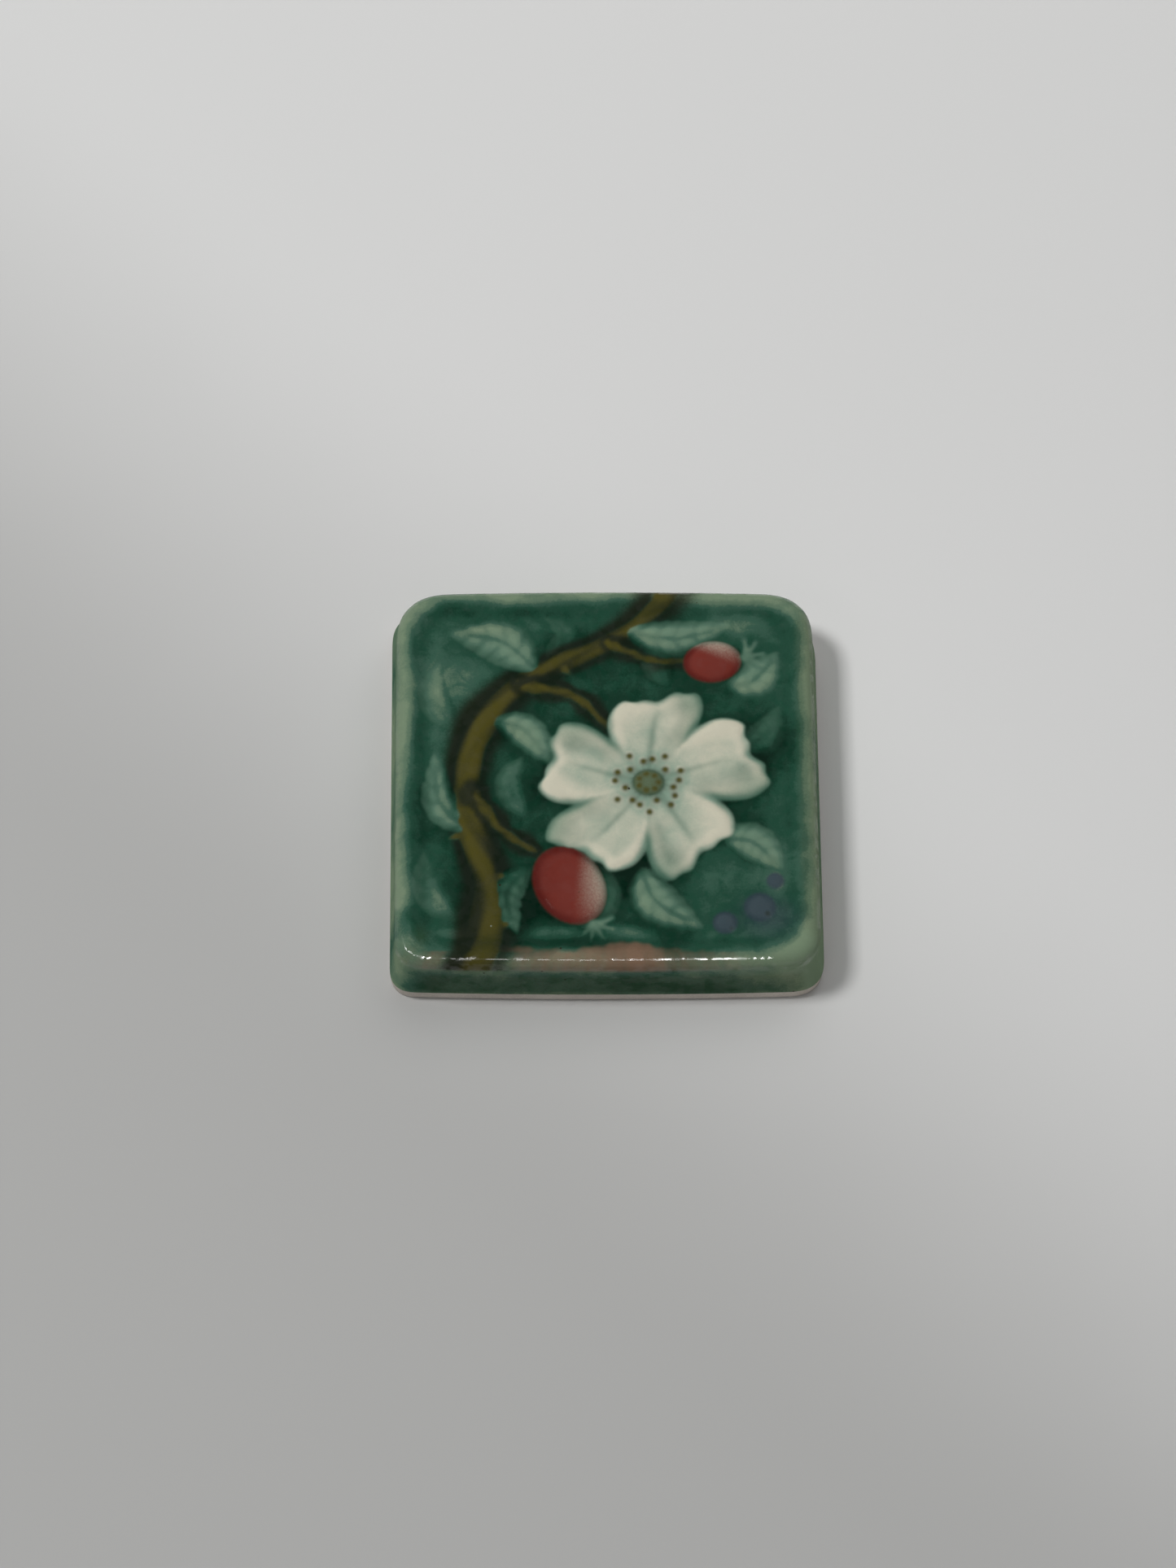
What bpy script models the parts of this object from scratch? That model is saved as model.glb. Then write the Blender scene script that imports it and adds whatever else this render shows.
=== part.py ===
"""Square relief tile of glazed ceramic, lying face up on its flat back.

Metres, +Z up. The origin is the centre of the back, which lies on z = 0. +X runs to the
picture's right and +Y to its top. The blank is a rounded square slab with a wall that leans
in a little, a soft top edge and a raised rim. The picture inside the rim is a wild rose
spray. Its places and widths are drawing units, and the field is always 44 of them wide, so
the picture keeps its proportions when the tile changes. Its heights are sizes of their own.
"""

import math

import bmesh
import bpy
import numpy as np

# The blank
TILE_SIDE = 0.0510  # foot, side to side
RIM_HEIGHT = 0.0089  # back to the crest of the rim
FIELD_DEPTH = 0.0007  # crest of the rim down to the ground of the picture
RIM_SLOPE = 0.0022  # width of the rim's inner slope
EDGE_ROUND = 0.0017  # radius between the rim and the wall
WALL_DRAFT = 0.0006  # how far the wall leans in
WALL_HOLLOW = 0.00012  # how far the wall dips at half height
END_BOW = 0.0004  # how far the far and the near side bow out in the middle
BARE_BAND = 0.0016  # clay that the glaze leaves bare above the back
GLAZE_STEP = 0.0001  # thickness of the glaze where it ends above the bare band
FOOT_ARRIS = 0.0003  # height of the small bevel around the back
ARRIS_WIDTH = 0.0002
FIELD_CORNER = 0.0032  # corner radius of the field
FAR_LEFT_CORNER = 0.0076  # reach of each rounded corner at the top of the wall
FAR_RIGHT_CORNER = 0.0072
NEAR_LEFT_CORNER = 0.0046
NEAR_RIGHT_CORNER = 0.0056
FAR_LEFT_FOOT = 0.0050  # reach of the same corners at the foot
FAR_RIGHT_FOOT = 0.0075
NEAR_LEFT_FOOT = 0.0036
NEAR_RIGHT_FOOT = 0.0049
CORNER_POWER = 3.0  # 2 makes the corners arcs of circles, and more makes them squarer

# The picture's heights above the ground
SWELL_RISE = 0.00009
BANK_RISE = 0.00028
BRANCH_RISE = 0.00056
LEAF_RISE = 0.00041
LOW_LEAF_RISE = 0.00021
PETAL_RISE = 0.00048
BOSS_RISE = 0.00062
HIP_RISE = 0.00065
BERRY_RISE = 0.00047
THORN_SHARE = 0.7  # height of a thorn as a share of the branch's
SEPAL_SHARE = 0.5  # height of a sepal as a share of the hip's

# The mesh
GRID_CELLS = 216  # cells along each side of the face before it is thinned
EDGE_STEPS = 5
WALL_STEPS = 4
GLAZED_TRIANGLES = 8600  # what is left of the glazed part once it is thinned

# The corners at the top of the wall and at the foot, anticlockwise from the far right
TOP_CORNERS = (FAR_RIGHT_CORNER, FAR_LEFT_CORNER, NEAR_LEFT_CORNER, NEAR_RIGHT_CORNER)
FOOT_CORNERS = (FAR_RIGHT_FOOT, FAR_LEFT_FOOT, NEAR_LEFT_FOOT, NEAR_RIGHT_FOOT)

# The picture's plan, in drawing units
DRAWING_HALF = 22.0
ROSE_CENTRE = (5.2, -1.2)
ROSE_TURN = math.radians(20)
ROSE_PETALS = 5
PETAL_LENGTH = 15.0
PETAL_WIDTH = 17.0
VIEW_TURN = math.radians(34)  # the flower is seen a little from the side, along this line
VIEW_SQUASH = 0.87
BANK_TOP = -21.6  # upper edge of the low bank along the near rim
BANK_SLOPE = 0.9

# How wide the slope at a form's edge is, in drawing units
FORM_SLOPE = 1.7
BRANCH_SLOPE = 1.2
MOUND_SLOPE = 1.3
THORN_SLOPE = 0.6
SEPAL_SLOPE = 0.5

GLAZE_GREEN = (0.045, 0.110, 0.080, 1.0)
GLAZE_ROUGHNESS = 0.12
SHARP_ANGLE = math.radians(34)  # edges that bend more than this are shaded as edges


def smooth(start, end, value):
    """Eases from 0 at start to 1 at end."""
    share = np.clip((value - start) / (end - start), 0.0, 1.0)
    return share * share * (3.0 - 2.0 * share)


def bump(value, width):
    """A soft ridge of height 1 around value 0."""
    return np.exp(-((value / width) ** 2))


def curve(points, spans=40):
    """A smooth line through the given points."""
    knots = np.array(points, float)
    before, after = 2 * knots[0] - knots[1], 2 * knots[-1] - knots[-2]
    knots = np.vstack([before, knots, after])
    place = np.linspace(0, len(knots) - 3, spans + 1)
    first = np.minimum(place.astype(int), len(knots) - 4)
    t = (place - first)[:, None]
    a, b, c, d = (knots[first + i] for i in range(4))
    bend = (2 * a - 5 * b + 4 * c - d) * t**2 + (3 * b - a - 3 * c + d) * t**3
    return 0.5 * (2 * b + (c - a) * t + bend)


def rounded(u, v, half, corners):
    """Places the square's points (u, v) on nested rounded squares whose ends bow out."""
    x, y = u * half, v * half
    far_right, far_left, near_left, near_right = corners
    far, near = np.where(x > 0, far_right, far_left), np.where(x > 0, near_right, near_left)
    corner = np.where(y > 0, far, near)
    over_x, over_y = np.abs(x) - (half - corner), np.abs(y) - (half - corner)
    in_corner = (over_x > 0) & (over_y > 0)
    over_x, over_y = np.maximum(over_x, 0), np.maximum(over_y, 0)
    reach = (over_x**CORNER_POWER + over_y**CORNER_POWER) ** (1 / CORNER_POWER)
    scale = np.maximum(over_x, over_y) / np.where(in_corner, reach, 1.0)
    x = np.where(in_corner, np.sign(x) * (half - corner + over_x * scale), x)
    y = np.where(in_corner, np.sign(y) * (half - corner + over_y * scale), y)
    return x, y - END_BOW * v * u**2


def outside_field(x, y, half, corner):
    """Distance outside a rounded square, negative inside it."""
    over_x, over_y = np.abs(x) - (half - corner), np.abs(y) - (half - corner)
    reach = np.hypot(np.maximum(over_x, 0), np.maximum(over_y, 0))
    return reach + np.minimum(np.maximum(over_x, over_y), 0) - corner


class Carving:
    """The picture's relief over a set of points, given in drawing units."""

    def __init__(self, x, y):
        self.x, self.y = x, y
        self.rise = SWELL_RISE * (np.sin(0.21 * x + 0.7) * np.cos(0.17 * y - 0.4) + 1.0)
        top = BANK_TOP + 0.8 * np.sin(0.27 * x + 2.2) + 0.4 * np.sin(0.6 * x)
        bank = smooth(top + BANK_SLOPE, top - BANK_SLOPE, y)
        self.rise += BANK_RISE * bank * smooth(DRAWING_HALF, 8, x)

    def near(self, path, reach):
        """The points that lie within reach of a path's box."""
        low, high = path.min(axis=0) - reach, path.max(axis=0) + reach
        across = (self.x > low[0]) & (self.x < high[0])
        return np.flatnonzero(across & (self.y > low[1]) & (self.y < high[1]))

    def follow(self, path, points):
        """Each point's share of the way along the path and its distance to the left of it."""
        steps = np.diff(path, axis=0)
        lengths = np.hypot(steps[:, 0], steps[:, 1])
        starts = np.concatenate([[0.0], np.cumsum(lengths)])
        nearest = np.full(len(points), np.inf)
        share, side = np.zeros(len(points)), np.zeros(len(points))
        for corner, step, length, start in zip(path, steps, lengths, starts):
            ahead_x, ahead_y = step / length
            from_x, from_y = self.x[points] - corner[0], self.y[points] - corner[1]
            ahead = np.clip(from_x * ahead_x + from_y * ahead_y, 0, length)
            distance = np.hypot(from_x - ahead * ahead_x, from_y - ahead * ahead_y)
            left = ahead_x * from_y - ahead_y * from_x
            closer = distance < nearest
            nearest = np.where(closer, distance, nearest)
            share = np.where(closer, (start + ahead) / starts[-1], share)
            side = np.where(closer, np.copysign(distance, left), side)
        return share, side

    def lay(self, points, height, inside, slope=FORM_SLOPE):
        """Raises the points to height over a slope that starts where inside passes 0."""
        under = self.rise[points]
        full = smooth(0, slope, inside)
        over = np.maximum(under, height * full + under * (1 - full))
        self.rise[points] = np.where(inside > 0, over, under)

    def branch(self, route, widths, shares):
        """A knotty stick whose width and height change along its route."""
        path = curve(route, 60)
        points = self.near(path, max(widths))
        along, side = self.follow(path, points)
        half = np.interp(along, np.linspace(0, 1, len(widths)), widths) / 2
        half = half * (1 + 0.09 * np.sin(27 * along) + 0.05 * np.sin(61 * along + 1))
        tall = BRANCH_RISE * np.interp(along, np.linspace(0, 1, len(shares)), shares)
        across = side / half
        belly = np.clip(1 - across**2, 0, 1) ** 0.7
        self.lay(points, tall * (0.3 + 0.7 * belly), (1 - np.abs(across)) * half, BRANCH_SLOPE)

    def thorn(self, foot, angle, length=1.7, width=1.4):
        """A small hooked spike on the branch."""
        tip = (foot[0] + length * math.cos(angle), foot[1] + length * math.sin(angle))
        path = np.array([foot, tip])
        points = self.near(path, width)
        along, side = self.follow(path, points)
        half = width / 2 * np.clip(1 - along, 0.02, 1) ** 1.2
        spike = np.clip(1 - along, 0, 1) ** 0.6
        self.lay(points, THORN_SHARE * BRANCH_RISE * spike, half - np.abs(side), THORN_SLOPE)

    def leaf(self, route, width, tall):
        """An almond blade with a groove for its midrib."""
        path = curve(route)
        points = self.near(path, width)
        along, side = self.follow(path, points)
        half = width / 2 * np.clip(np.sin(math.pi * along**0.8), 0, 1) ** 0.85
        half = np.maximum(half, 0.001)
        across = np.minimum(np.abs(side) / half, 1.5)
        blade = 0.30 + 0.70 * np.clip(1 - across**2.2, 0, 1) + 0.15 * np.sin(5 * along + 1.5 * side / half)
        midrib = 0.45 * bump(side, 0.36) * smooth(1.0, 0.7, along)
        self.lay(points, tall * (blade - midrib), half - np.abs(side))

    def petal(self, angle, length, width):
        """A broad petal with a shallow notch, dished and leaning over the one beside it."""
        reach = np.array([ROSE_CENTRE, ROSE_CENTRE])
        points = self.near(reach, 1.3 * length)
        x, y = self.x[points] - ROSE_CENTRE[0], self.y[points] - ROSE_CENTRE[1]
        c, s = math.cos(VIEW_TURN), math.sin(VIEW_TURN)
        level, steep = x * c + y * s, (y * c - x * s) / VIEW_SQUASH
        x, y = level * c - steep * s, level * s + steep * c
        ahead = x * math.cos(angle) + y * math.sin(angle)
        side = y * math.cos(angle) - x * math.sin(angle)
        side = side + 0.10 * length * np.clip(ahead / length, 0, 1.3) ** 2
        notch = 1 - 0.12 * bump(side - 0.06 * width, 0.2 * width)
        along = ahead / (length * notch)
        along = along * (1 + 0.018 * np.sin(1.9 * side + 5 * angle))
        share = np.clip(along, 0.0001, 1)
        half = 0.54 * width * share**0.66 * np.sqrt(np.clip(1 - share**4.5, 0, 1))
        half = np.maximum(half, 0.001)
        across = side / half
        edge = np.minimum(half - np.abs(side), (1 - along) * length)
        body = 0.55 + 0.45 * smooth(0, 0.8, along)
        dish = 0.28 * np.clip(1 - across**2, 0, 1) * smooth(0.2, 0.7, along)
        lean = 0.24 * across * smooth(0.25, 0.8, along)
        rolled = 0.13 * bump(edge - 1.5, 0.8)
        within = np.where((along > 0) & (along < 1), edge, -1.0)
        self.lay(points, PETAL_RISE * (body - dish + lean + rolled), within)

    def dome(self, centre, length, width, angle, tall, base=0.15):
        """An egg-shaped mound, which starts a little above the ground."""
        points = self.near(np.array([centre, centre]), max(length, width))
        x, y = self.x[points] - centre[0], self.y[points] - centre[1]
        ahead = (x * math.cos(angle) + y * math.sin(angle)) / (length / 2)
        side = (y * math.cos(angle) - x * math.sin(angle)) / (width / 2)
        out = np.hypot(ahead, side)
        crown = base + (1 - base) * np.clip(1 - out**2, 0, 1) ** 0.7
        self.lay(points, tall * crown, (1 - out) * min(length, width) / 2, MOUND_SLOPE)

    def hip(self, centre, length, width, angle):
        """A rose hip with the dry sepals at its tip."""
        tip = np.array(centre) + 0.5 * length * np.array([math.cos(angle), math.sin(angle)])
        for turn in (-1.1, -0.5, 0.1, 0.7, 1.2):
            way = np.array([math.cos(angle + turn), math.sin(angle + turn)])
            path = np.array([tip, tip + 2.7 * way])
            points = self.near(path, 1.5)
            along, side = self.follow(path, points)
            half = 0.62 * (1.1 - 0.6 * along)
            tall = SEPAL_SHARE * HIP_RISE * (1 - 0.4 * along)
            self.lay(points, tall, half - np.abs(side), SEPAL_SLOPE)
        self.dome(centre, length, width, angle, HIP_RISE)


def draw_rose(carving):
    """The flower: petals around a low boss."""
    for number in range(ROSE_PETALS):
        angle = ROSE_TURN + number * 2 * math.pi / ROSE_PETALS
        length = PETAL_LENGTH * (1 + 0.05 * math.sin(3 * number + 1))
        width = PETAL_WIDTH * (1 + 0.06 * math.cos(2 * number))
        carving.petal(angle, length, width)
    carving.dome(ROSE_CENTRE, 4.6, 4.2, 0.0, BOSS_RISE, base=0.6)


def draw_spray(carving):
    """The whole picture, from the low leaves behind to the fruit in front."""
    low_leaves = (
        (((-18.5, 6), (-21.5, 11), (-20.5, 16.5)), 4.6),
        (((-18, -20), (-22, -16), (-22.5, -10)), 4.4),
        (((16, 3), (19.8, 5.5), (21.8, 10)), 5.0),
        (((-2, -12), (-0.5, -17), (-3.5, -22)), 5.0),
        (((-10, -6), (-12, -1), (-10, 3)), 4.5),
        (((-7, 15), (-5, 19.5), (-8, 22.5)), 4.5),
        (((8, 12), (6.5, 16), (9, 20.5)), 4.5),
    )
    for route, width in low_leaves:
        carving.leaf(route, width, LOW_LEAF_RISE)

    stem = ((-15.5, -26), (-14.6, -15), (-17.2, -4), (-15.8, 6), (-9.5, 13.5), (0.5, 18.6), (9.5, 26))
    carving.branch(stem, (4.9, 4.4, 4.1, 3.7, 3.1, 2.6, 2.2), (1.0, 0.95, 0.9, 0.8, 0.7, 0.6))
    carving.branch(((-16.3, -3), (-12.5, -8), (-8.8, -10.5)), (2.4, 1.7, 1.3), (0.75, 0.65, 0.55))
    carving.branch(((-10.5, 12.5), (-4, 11), (1, 6)), (2.3, 1.7, 1.3), (0.75, 0.65, 0.55))
    carving.branch(((0.5, 18.4), (6, 16), (10, 16)), (1.9, 1.5, 1.2), (0.7, 0.6, 0.5))
    thorns = (((-18.6, -8.5), 200), ((-12.9, -14), 15), ((-5, 14.6), -40), ((-12.4, -20.4), 10))
    for foot, degrees in thorns:
        carving.thorn(foot, math.radians(degrees))

    leaves = (
        (((-8.5, 14.5), (-13, 18.6), (-20, 20)), 6.8),
        (((2.6, 20), (9, 19), (16.5, 21.2)), 5.8),
        (((15, 12.5), (18.5, 13), (22, 17.5)), 5.6),
        (((14, -9), (18, -9.5), (21.8, -13.5)), 6.0),
        (((4, -12.5), (6, -17.5), (12, -21.3)), 6.4),
        (((-16.5, -8), (-20.5, -4), (-21.3, 3.5)), 4.8),
        (((-9.5, -12.5), (-12.3, -16.5), (-11, -22)), 4.6),
        (((-14, 7.5), (-10, 6), (-6.5, 1)), 5.4),
    )
    for route, width in leaves:
        carving.leaf(route, width, LEAF_RISE)

    draw_rose(carving)
    carving.hip((-4.6, -15.2), 11.6, 9.0, math.radians(-62))
    carving.hip((13.4, 15.8), 7.8, 6.2, math.radians(8))
    for centre, size in (((18.6, -18.2), 4.2), ((14.3, -20.3), 3.4), ((20.6, -14.6), 2.6)):
        carving.dome(centre, size, size, 0.0, BERRY_RISE)


def face_height(x, y):
    """Height of the face over the back at each point inside the crest of the rim."""
    crest_half = TILE_SIDE / 2 - WALL_DRAFT - EDGE_ROUND
    field_half = crest_half - RIM_SLOPE
    unit = field_half / DRAWING_HALF
    carving = Carving(x / unit, y / unit)
    draw_spray(carving)
    outside = outside_field(x, y, field_half, FIELD_CORNER)
    ground = RIM_HEIGHT - FIELD_DEPTH
    rim = ground + FIELD_DEPTH * smooth(0, RIM_SLOPE, outside)
    picture = ground + carving.rise * smooth(0.6 * RIM_SLOPE, -0.8 * RIM_SLOPE, outside)
    return np.maximum(rim, picture)


def side_rings():
    """Half width, corners and height of each ring, from the crest down to the glaze's end."""
    rings = []
    for step in range(1, EDGE_STEPS + 1):
        angle = math.radians(90) * step / EDGE_STEPS
        inset = EDGE_ROUND * (1 - math.sin(angle))
        corners = [corner - inset for corner in TOP_CORNERS]
        height = RIM_HEIGHT - EDGE_ROUND * (1 - math.cos(angle))
        rings.append((TILE_SIDE / 2 - WALL_DRAFT - inset, corners, height))
    wall_top = RIM_HEIGHT - EDGE_ROUND
    for step in range(1, WALL_STEPS + 1):
        down = step / WALL_STEPS
        hollow = WALL_HOLLOW * math.sin(math.pi * down)
        half = TILE_SIDE / 2 - WALL_DRAFT * (1 - down) - hollow
        corners = [top + (foot - top) * down for top, foot in zip(TOP_CORNERS, FOOT_CORNERS)]
        rings.append((half, corners, wall_top + (BARE_BAND + GLAZE_STEP - wall_top) * down))
    return rings


def put_in_order(body):
    """Sorts the edges and faces by their vertices, so that every run lists them alike."""
    body.verts.index_update()
    count = len(body.verts)

    def rank(item):
        first, second, third = sorted([vert.index for vert in item.verts] + [count])[:3]
        return (first * count + second) * count + third

    body.edges.sort(key=rank)
    body.faces.sort(key=rank)


def glazed_shell():
    """The face and the wall as one open sheet, down to where the glaze ends."""
    body = bmesh.new()
    bmesh.ops.create_grid(body, x_segments=GRID_CELLS, y_segments=GRID_CELLS, size=1.0)
    body.verts.ensure_lookup_table()
    flat = np.array([vert.co for vert in body.verts])
    crest_half = TILE_SIDE / 2 - WALL_DRAFT - EDGE_ROUND
    crest_corners = [corner - EDGE_ROUND for corner in TOP_CORNERS]
    x, y = rounded(flat[:, 0], flat[:, 1], crest_half, crest_corners)
    for vert, place in zip(body.verts, zip(x, y, face_height(x, y))):
        vert.co = place

    square = {vert: tuple(flat[vert.index, :2]) for vert in body.verts if vert.is_boundary}
    border = [edge for edge in body.edges if edge.is_boundary]
    for half, corners, height in side_rings():
        made = bmesh.ops.extrude_edge_only(body, edges=border)["geom"]
        border = [item for item in made if isinstance(item, bmesh.types.BMEdge) and item.is_boundary]
        ring = {vert for edge in border for vert in edge.verts}
        below = {}
        for vert in ring:
            joined = [edge.other_vert(vert) for edge in vert.link_edges]
            above = next(other for other in joined if other in square)
            below[vert] = square[above]
        for vert, (u, v) in below.items():
            x, y = rounded(np.float64(u), np.float64(v), half, corners)
            vert.co = (x, y, height)
        square = below
    put_in_order(body)
    mesh = bpy.data.meshes.new("glazed shell")
    body.to_mesh(mesh)
    body.free()
    return mesh


def thinned(mesh, collection):
    """A copy of the mesh with fewer triangles, most of them left where the relief bends."""
    mesh.calc_loop_triangles()
    shell = bpy.data.objects.new("shell", mesh)
    collection.objects.link(shell)
    thin = shell.modifiers.new("thin", "DECIMATE")
    thin.decimate_type = "COLLAPSE"
    thin.ratio = min(1.0, GLAZED_TRIANGLES / len(mesh.loop_triangles))
    graph = bpy.context.evaluated_depsgraph_get()
    copy = bpy.data.meshes.new_from_object(shell.evaluated_get(graph), depsgraph=graph)
    bpy.data.objects.remove(shell, do_unlink=True)
    return copy


def close_foot(mesh):
    """Runs the open shell down over the bare clay band and closes it with a flat back."""
    body = bmesh.new()
    body.from_mesh(mesh)
    border = [edge for edge in body.edges if edge.is_boundary]
    for vert in {vert for edge in border for vert in edge.verts}:
        vert.co.z = BARE_BAND + GLAZE_STEP
    half = TILE_SIDE / 2
    for inset, height in ((GLAZE_STEP, BARE_BAND), (0.0, FOOT_ARRIS), (ARRIS_WIDTH, 0.0)):
        made = bmesh.ops.extrude_edge_only(body, edges=border)["geom"]
        border = [item for item in made if isinstance(item, bmesh.types.BMEdge) and item.is_boundary]
        ring = [item for item in made if isinstance(item, bmesh.types.BMVert)]
        shrink = (half - inset) / half
        bmesh.ops.scale(body, vec=(shrink, shrink, 1.0), verts=ring)
        for vert in ring:
            vert.co.z = height
        half -= inset
    bmesh.ops.contextual_create(body, geom=border)
    put_in_order(body)
    bmesh.ops.triangulate(body, faces=body.faces)
    bmesh.ops.recalc_face_normals(body, faces=body.faces)
    put_in_order(body)
    body.to_mesh(mesh)
    body.free()


def build_tile(collection):
    """The tile as one closed solid."""
    mesh = thinned(glazed_shell(), collection)
    close_foot(mesh)
    mesh.name = "tile"
    tile = bpy.data.objects.new("tile", mesh)
    collection.objects.link(tile)
    return tile


def glaze():
    """Green glaze over the whole tile."""
    material = bpy.data.materials.new("green glaze")
    material.use_nodes = True
    shader = material.node_tree.nodes["Principled BSDF"]
    shader.inputs["Base Color"].default_value = GLAZE_GREEN
    shader.inputs["Roughness"].default_value = GLAZE_ROUGHNESS
    shader.inputs["Metallic"].default_value = 0.0
    return material


def main():
    for thing in list(bpy.data.objects):
        bpy.data.objects.remove(thing, do_unlink=True)
    collection = bpy.data.collections.new("relief tile")
    bpy.context.scene.collection.children.link(collection)
    tile = build_tile(collection)
    tile.data.materials.append(glaze())
    tile.data.shade_smooth()
    tile.data.set_sharp_from_angle(angle=SHARP_ANGLE)


main()
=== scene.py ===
"""Looks of a small square relief tile of glazed ceramic, lying face up on a pale floor.

The tile is one piece of fired clay. Its face is a fine grid carved by the motifs of a wild
rose spray, and the grid's border is extruded into the rim, the wall, the bare foot and the
back. A transparent green glaze lies over painted stains: it pools dark in the hollows and
thins to pale sage on the rim. Places on the picture are drawing units, 44 of them across
the field inside the rim. Places on the square run from -1 to 1. Everything else is in metres.
"""

from __future__ import annotations

import logging
import math
from dataclasses import dataclass
from enum import Enum
from typing import Protocol

import bmesh
import bpy
import numpy as np
from mathutils import Matrix, Vector


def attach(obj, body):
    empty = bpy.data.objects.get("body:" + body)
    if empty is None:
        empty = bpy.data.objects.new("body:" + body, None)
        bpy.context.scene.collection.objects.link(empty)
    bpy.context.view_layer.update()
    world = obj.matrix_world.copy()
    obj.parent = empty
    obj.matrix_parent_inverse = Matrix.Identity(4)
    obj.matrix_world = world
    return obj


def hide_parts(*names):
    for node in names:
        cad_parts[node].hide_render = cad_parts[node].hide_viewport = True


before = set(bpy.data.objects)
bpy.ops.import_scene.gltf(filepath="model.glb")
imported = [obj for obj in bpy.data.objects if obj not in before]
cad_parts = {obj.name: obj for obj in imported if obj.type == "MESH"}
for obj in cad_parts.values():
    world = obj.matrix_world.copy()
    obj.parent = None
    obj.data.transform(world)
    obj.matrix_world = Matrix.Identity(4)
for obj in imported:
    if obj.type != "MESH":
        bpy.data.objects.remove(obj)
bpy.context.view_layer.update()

LOG = logging.getLogger("relief tile")

Array = np.ndarray
Point = tuple[float, float]
Wave = tuple[float, float, float]
Colour = tuple[float, float, float]
Corners = tuple[float, float, float, float]
Socket = bpy.types.NodeSocket

DRAWING_HALF = 22.0


def smooth(start: float | Array, end: float | Array, value: float | Array) -> Array:
    """Eases a value from 0 to 1.

    Args:
        start: Where the result is 0.
        end: Where the result is 1. It may be less than start.
        value: The value or values to ease.

    Returns:
        The eased share, from 0 to 1.
    """
    share = np.clip((value - start) / (end - start), 0.0, 1.0)
    return share * share * (3.0 - 2.0 * share)


def bump(value: Array, width: float | Array) -> Array:
    """A soft ridge of height 1 around value 0, falling off over width."""
    return np.exp(-((value / width) ** 2))


def spot(x: Array, y: Array, centre: Point, size: Point) -> Array:
    """A soft oval of height 1 around a centre, falling off over its size across and up."""
    return bump(x - centre[0], size[0]) * bump(y - centre[1], size[1])


def ripple(value: Array, *waves: Wave) -> Array:
    """Adds up sine waves, each given by its height, its rate and its phase."""
    return sum(height * np.sin(rate * value + phase) for height, rate, phase in waves)


def spread(share: Array, values: tuple[float, ...]) -> Array:
    """Reads values that are spread evenly along a way, at shares of it."""
    return np.interp(share, np.linspace(0, 1, len(values)), values)


def line_at(x: Array, points: tuple[Point, ...]) -> Array:
    """How high a line through points is at each x."""
    return np.interp(x, *np.array(points).T)


def turned(x: Array, y: Array, angle: float) -> tuple[Array, Array]:
    """How far places lie ahead in a direction, and how far to the left of it."""
    c, s = math.cos(angle), math.sin(angle)
    return x * c + y * s, y * c - x * s


def on_oval(centre: Point, reach: Point, angle: float) -> Point:
    """The point in a direction on an oval around a centre."""
    return centre[0] + reach[0] * math.cos(angle), centre[1] + reach[1] * math.sin(angle)


def curve(points: tuple[Point, ...], spans: int = 40) -> Array:
    """Draws a smooth line through points.

    Args:
        points: The points that the line passes through, in drawing units.
        spans: How many straight pieces stand for the line.

    Returns:
        The line's points, as spans + 1 rows.
    """
    knots = np.array(points, float)
    before, after = 2 * knots[0] - knots[1], 2 * knots[-1] - knots[-2]
    knots = np.vstack([before, knots, after])
    place = np.linspace(0, len(knots) - 3, spans + 1)
    first = np.minimum(place.astype(int), len(knots) - 4)
    t = (place - first)[:, None]
    a, b, c, d = (knots[first + i] for i in range(4))
    bend = (2 * a - 5 * b + 4 * c - d) * t**2 + (3 * b - a - 3 * c + d) * t**3
    return 0.5 * (2 * b + (c - a) * t + bend)


def blurred(values: Array, reach: float) -> Array:
    """Blurs a grid of values.

    Args:
        values: The grid.
        reach: The spread of the blur, in cells.

    Returns:
        The blurred grid, with the same shape.
    """
    radius = int(3 * reach) + 1
    steps = np.arange(-radius, radius + 1)
    weights = np.exp(-0.5 * (steps / reach) ** 2)
    weights /= weights.sum()
    for axis in (0, 1):
        margins = [(radius, radius) if other == axis else (0, 0) for other in (0, 1)]
        padded = np.pad(values, margins, mode="edge")
        length = values.shape[axis]
        parts = (np.take(padded, range(step, step + length), axis=axis) for step in range(len(steps)))
        values = sum(weight * part for weight, part in zip(weights, parts))
    return values


class Stain(Enum):
    """The colours painted under or into the glaze. Each is an attribute of the mesh."""

    PALE = "pale"
    WHITE = "white"
    RED = "red"
    AMBER = "amber"
    UMBER = "umber"
    BLUE = "blue"
    ROSE = "rose"


@dataclass(frozen=True)
class Ring:
    """One level of the tile's side: its outline, its height and whether it is bare clay."""

    half: float
    corners: Corners
    height: float
    bare: bool = False


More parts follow.
